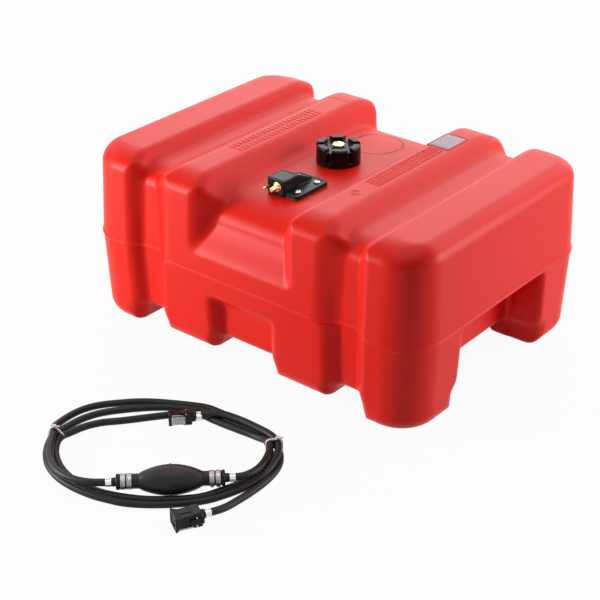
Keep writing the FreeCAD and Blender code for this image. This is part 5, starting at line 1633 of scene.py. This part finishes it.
@dataclass
class Studio:
    """A pale floor, a white surround, soft boxes and the camera, in metres."""

    azimuth: float = 39.18
    elevation: float = 29.17
    camera_at: Point = (1.2901, -1.6697, 1.2039)
    focal: float = 1485.4
    frame_pixels: float = 600.0
    sensor: float = 36.0
    floor_half: float = 9.0
    floor_drop: float = 0.0003
    floor_colour: Colour = (0.74, 0.74, 0.74)
    floor_shade: Colour = (0.70, 0.70, 0.70)
    floor_seen: float = 0.95
    ambient: float = 0.03
    boxes: Tuple[SoftBox, ...] = (
        SoftBox("back_left_box", (-1.7, 2.3, 1.9), (0, 0, 0.25), (3.0, 2.2), 40.0),
        SoftBox("back_middle_box", (0.2, 2.8, 1.7), (0, 0, 0.25), (2.4, 1.6), 26.0),
        SoftBox("back_right_box", (1.3, 1.9, 1.9), (0.2, 0, 0.25), (1.6, 1.3), 15.0),
        SoftBox("low_left_box", (-1.45, -1.55, 0.22), (-0.3, -0.2, 0.12), (0.9, 0.4), 30.0),
        SoftBox("near_left_box", (-1.2, -1.3, 0.7), (-0.3, -0.2, 0.15), (0.8, 0.8), 16.0),
        SoftBox("high_left_box", (-2.6, 0.6, 1.9), (0, 0, 0.2), (2.0, 2.0), 8.0),
        SoftBox("right_box", (1.8, 1.2, 0.6), (0.3, 0, 0.15), (1.0, 0.8), 26.0),
        SoftBox("overhead_box", (0.2, -0.2, 2.9), (0, 0, 0), (2.2, 2.2), 22.0),
    )

    def world(self) -> None:
        """A dim surround that is white where it is looked at or mirrored."""
        graph = Graph(bpy.data.worlds.new("studio_surround"))
        bpy.context.scene.world = graph.owner
        strength = self.ambient + graph.looked_at() * (1 - self.ambient)
        sky = graph.node("ShaderNodeBackground", {}, {"Color": (1, 1, 1, 1), "Strength": strength})
        graph.node("ShaderNodeOutputWorld", {}, {"Surface": sky})

    def floor(self, rows: int = 9) -> None:
        """A wide pale floor that keeps a soft shadow."""
        graph = Graph(bpy.data.materials.new("studio_floor"))
        paper = graph.noise(graph.place(), 30.0, 3.0)
        colour = graph.mix(paper, self.floor_colour, self.floor_shade)
        diffuse = graph.node("ShaderNodeBsdfDiffuse", {}, {"Color": colour})
        glow = graph.node("ShaderNodeEmission", {}, {"Color": (1, 1, 1, 1), "Strength": 1.0})
        share = graph.looked_at() * self.floor_seen
        mixed = graph.node("ShaderNodeMixShader", {}, {0: share, 1: diffuse, 2: glow})
        steps = np.linspace(-self.floor_half, self.floor_half, rows)
        flat = sheet(rows, rows, [(x, y, -self.floor_drop) for x in steps for y in steps])
        mesh = bpy.data.meshes.new("studio_floor")
        mesh.from_pydata(flat.points.tolist(), [], flat.faces)
        mesh.materials.append(graph.shaded(mixed))
        linked("studio_floor", mesh)

    def camera(self) -> None:
        """The camera at the view's own angle."""
        data = bpy.data.cameras.new("view_camera")
        data.sensor_width = self.sensor
        data.lens = self.focal * self.sensor / self.frame_pixels
        rise = math.radians(self.elevation)
        right = Vector(heading(self.azimuth))
        level = Vector(heading(self.azimuth - 90))
        back = level * math.cos(rise) + Vector((0, 0, math.sin(rise)))
        axes = Matrix((right, back.cross(right), back)).transposed().to_4x4()
        made = linked("view_camera", data)
        made.matrix_world = Matrix.Translation(self.camera_at) @ axes
        bpy.context.scene.camera = made

    def build(self) -> None:
        """Set up the studio."""
        self.world()
        self.floor()
        for box in self.boxes:
            box.light()
        self.camera()
        bpy.context.scene.view_settings.view_transform = "Standard"
        log.info("studio: %d soft boxes", len(self.boxes))


def main() -> None:
    """Build every sub-assembly in order."""
    logging.basicConfig(level=logging.INFO, format="%(name)s: %(message)s")
    for part in (TankBody(), FillerCap(), WithdrawalFitting(), FuelLine(), KeptParts(), Studio()):
        part.build()


if __name__ == "__main__":
    main()
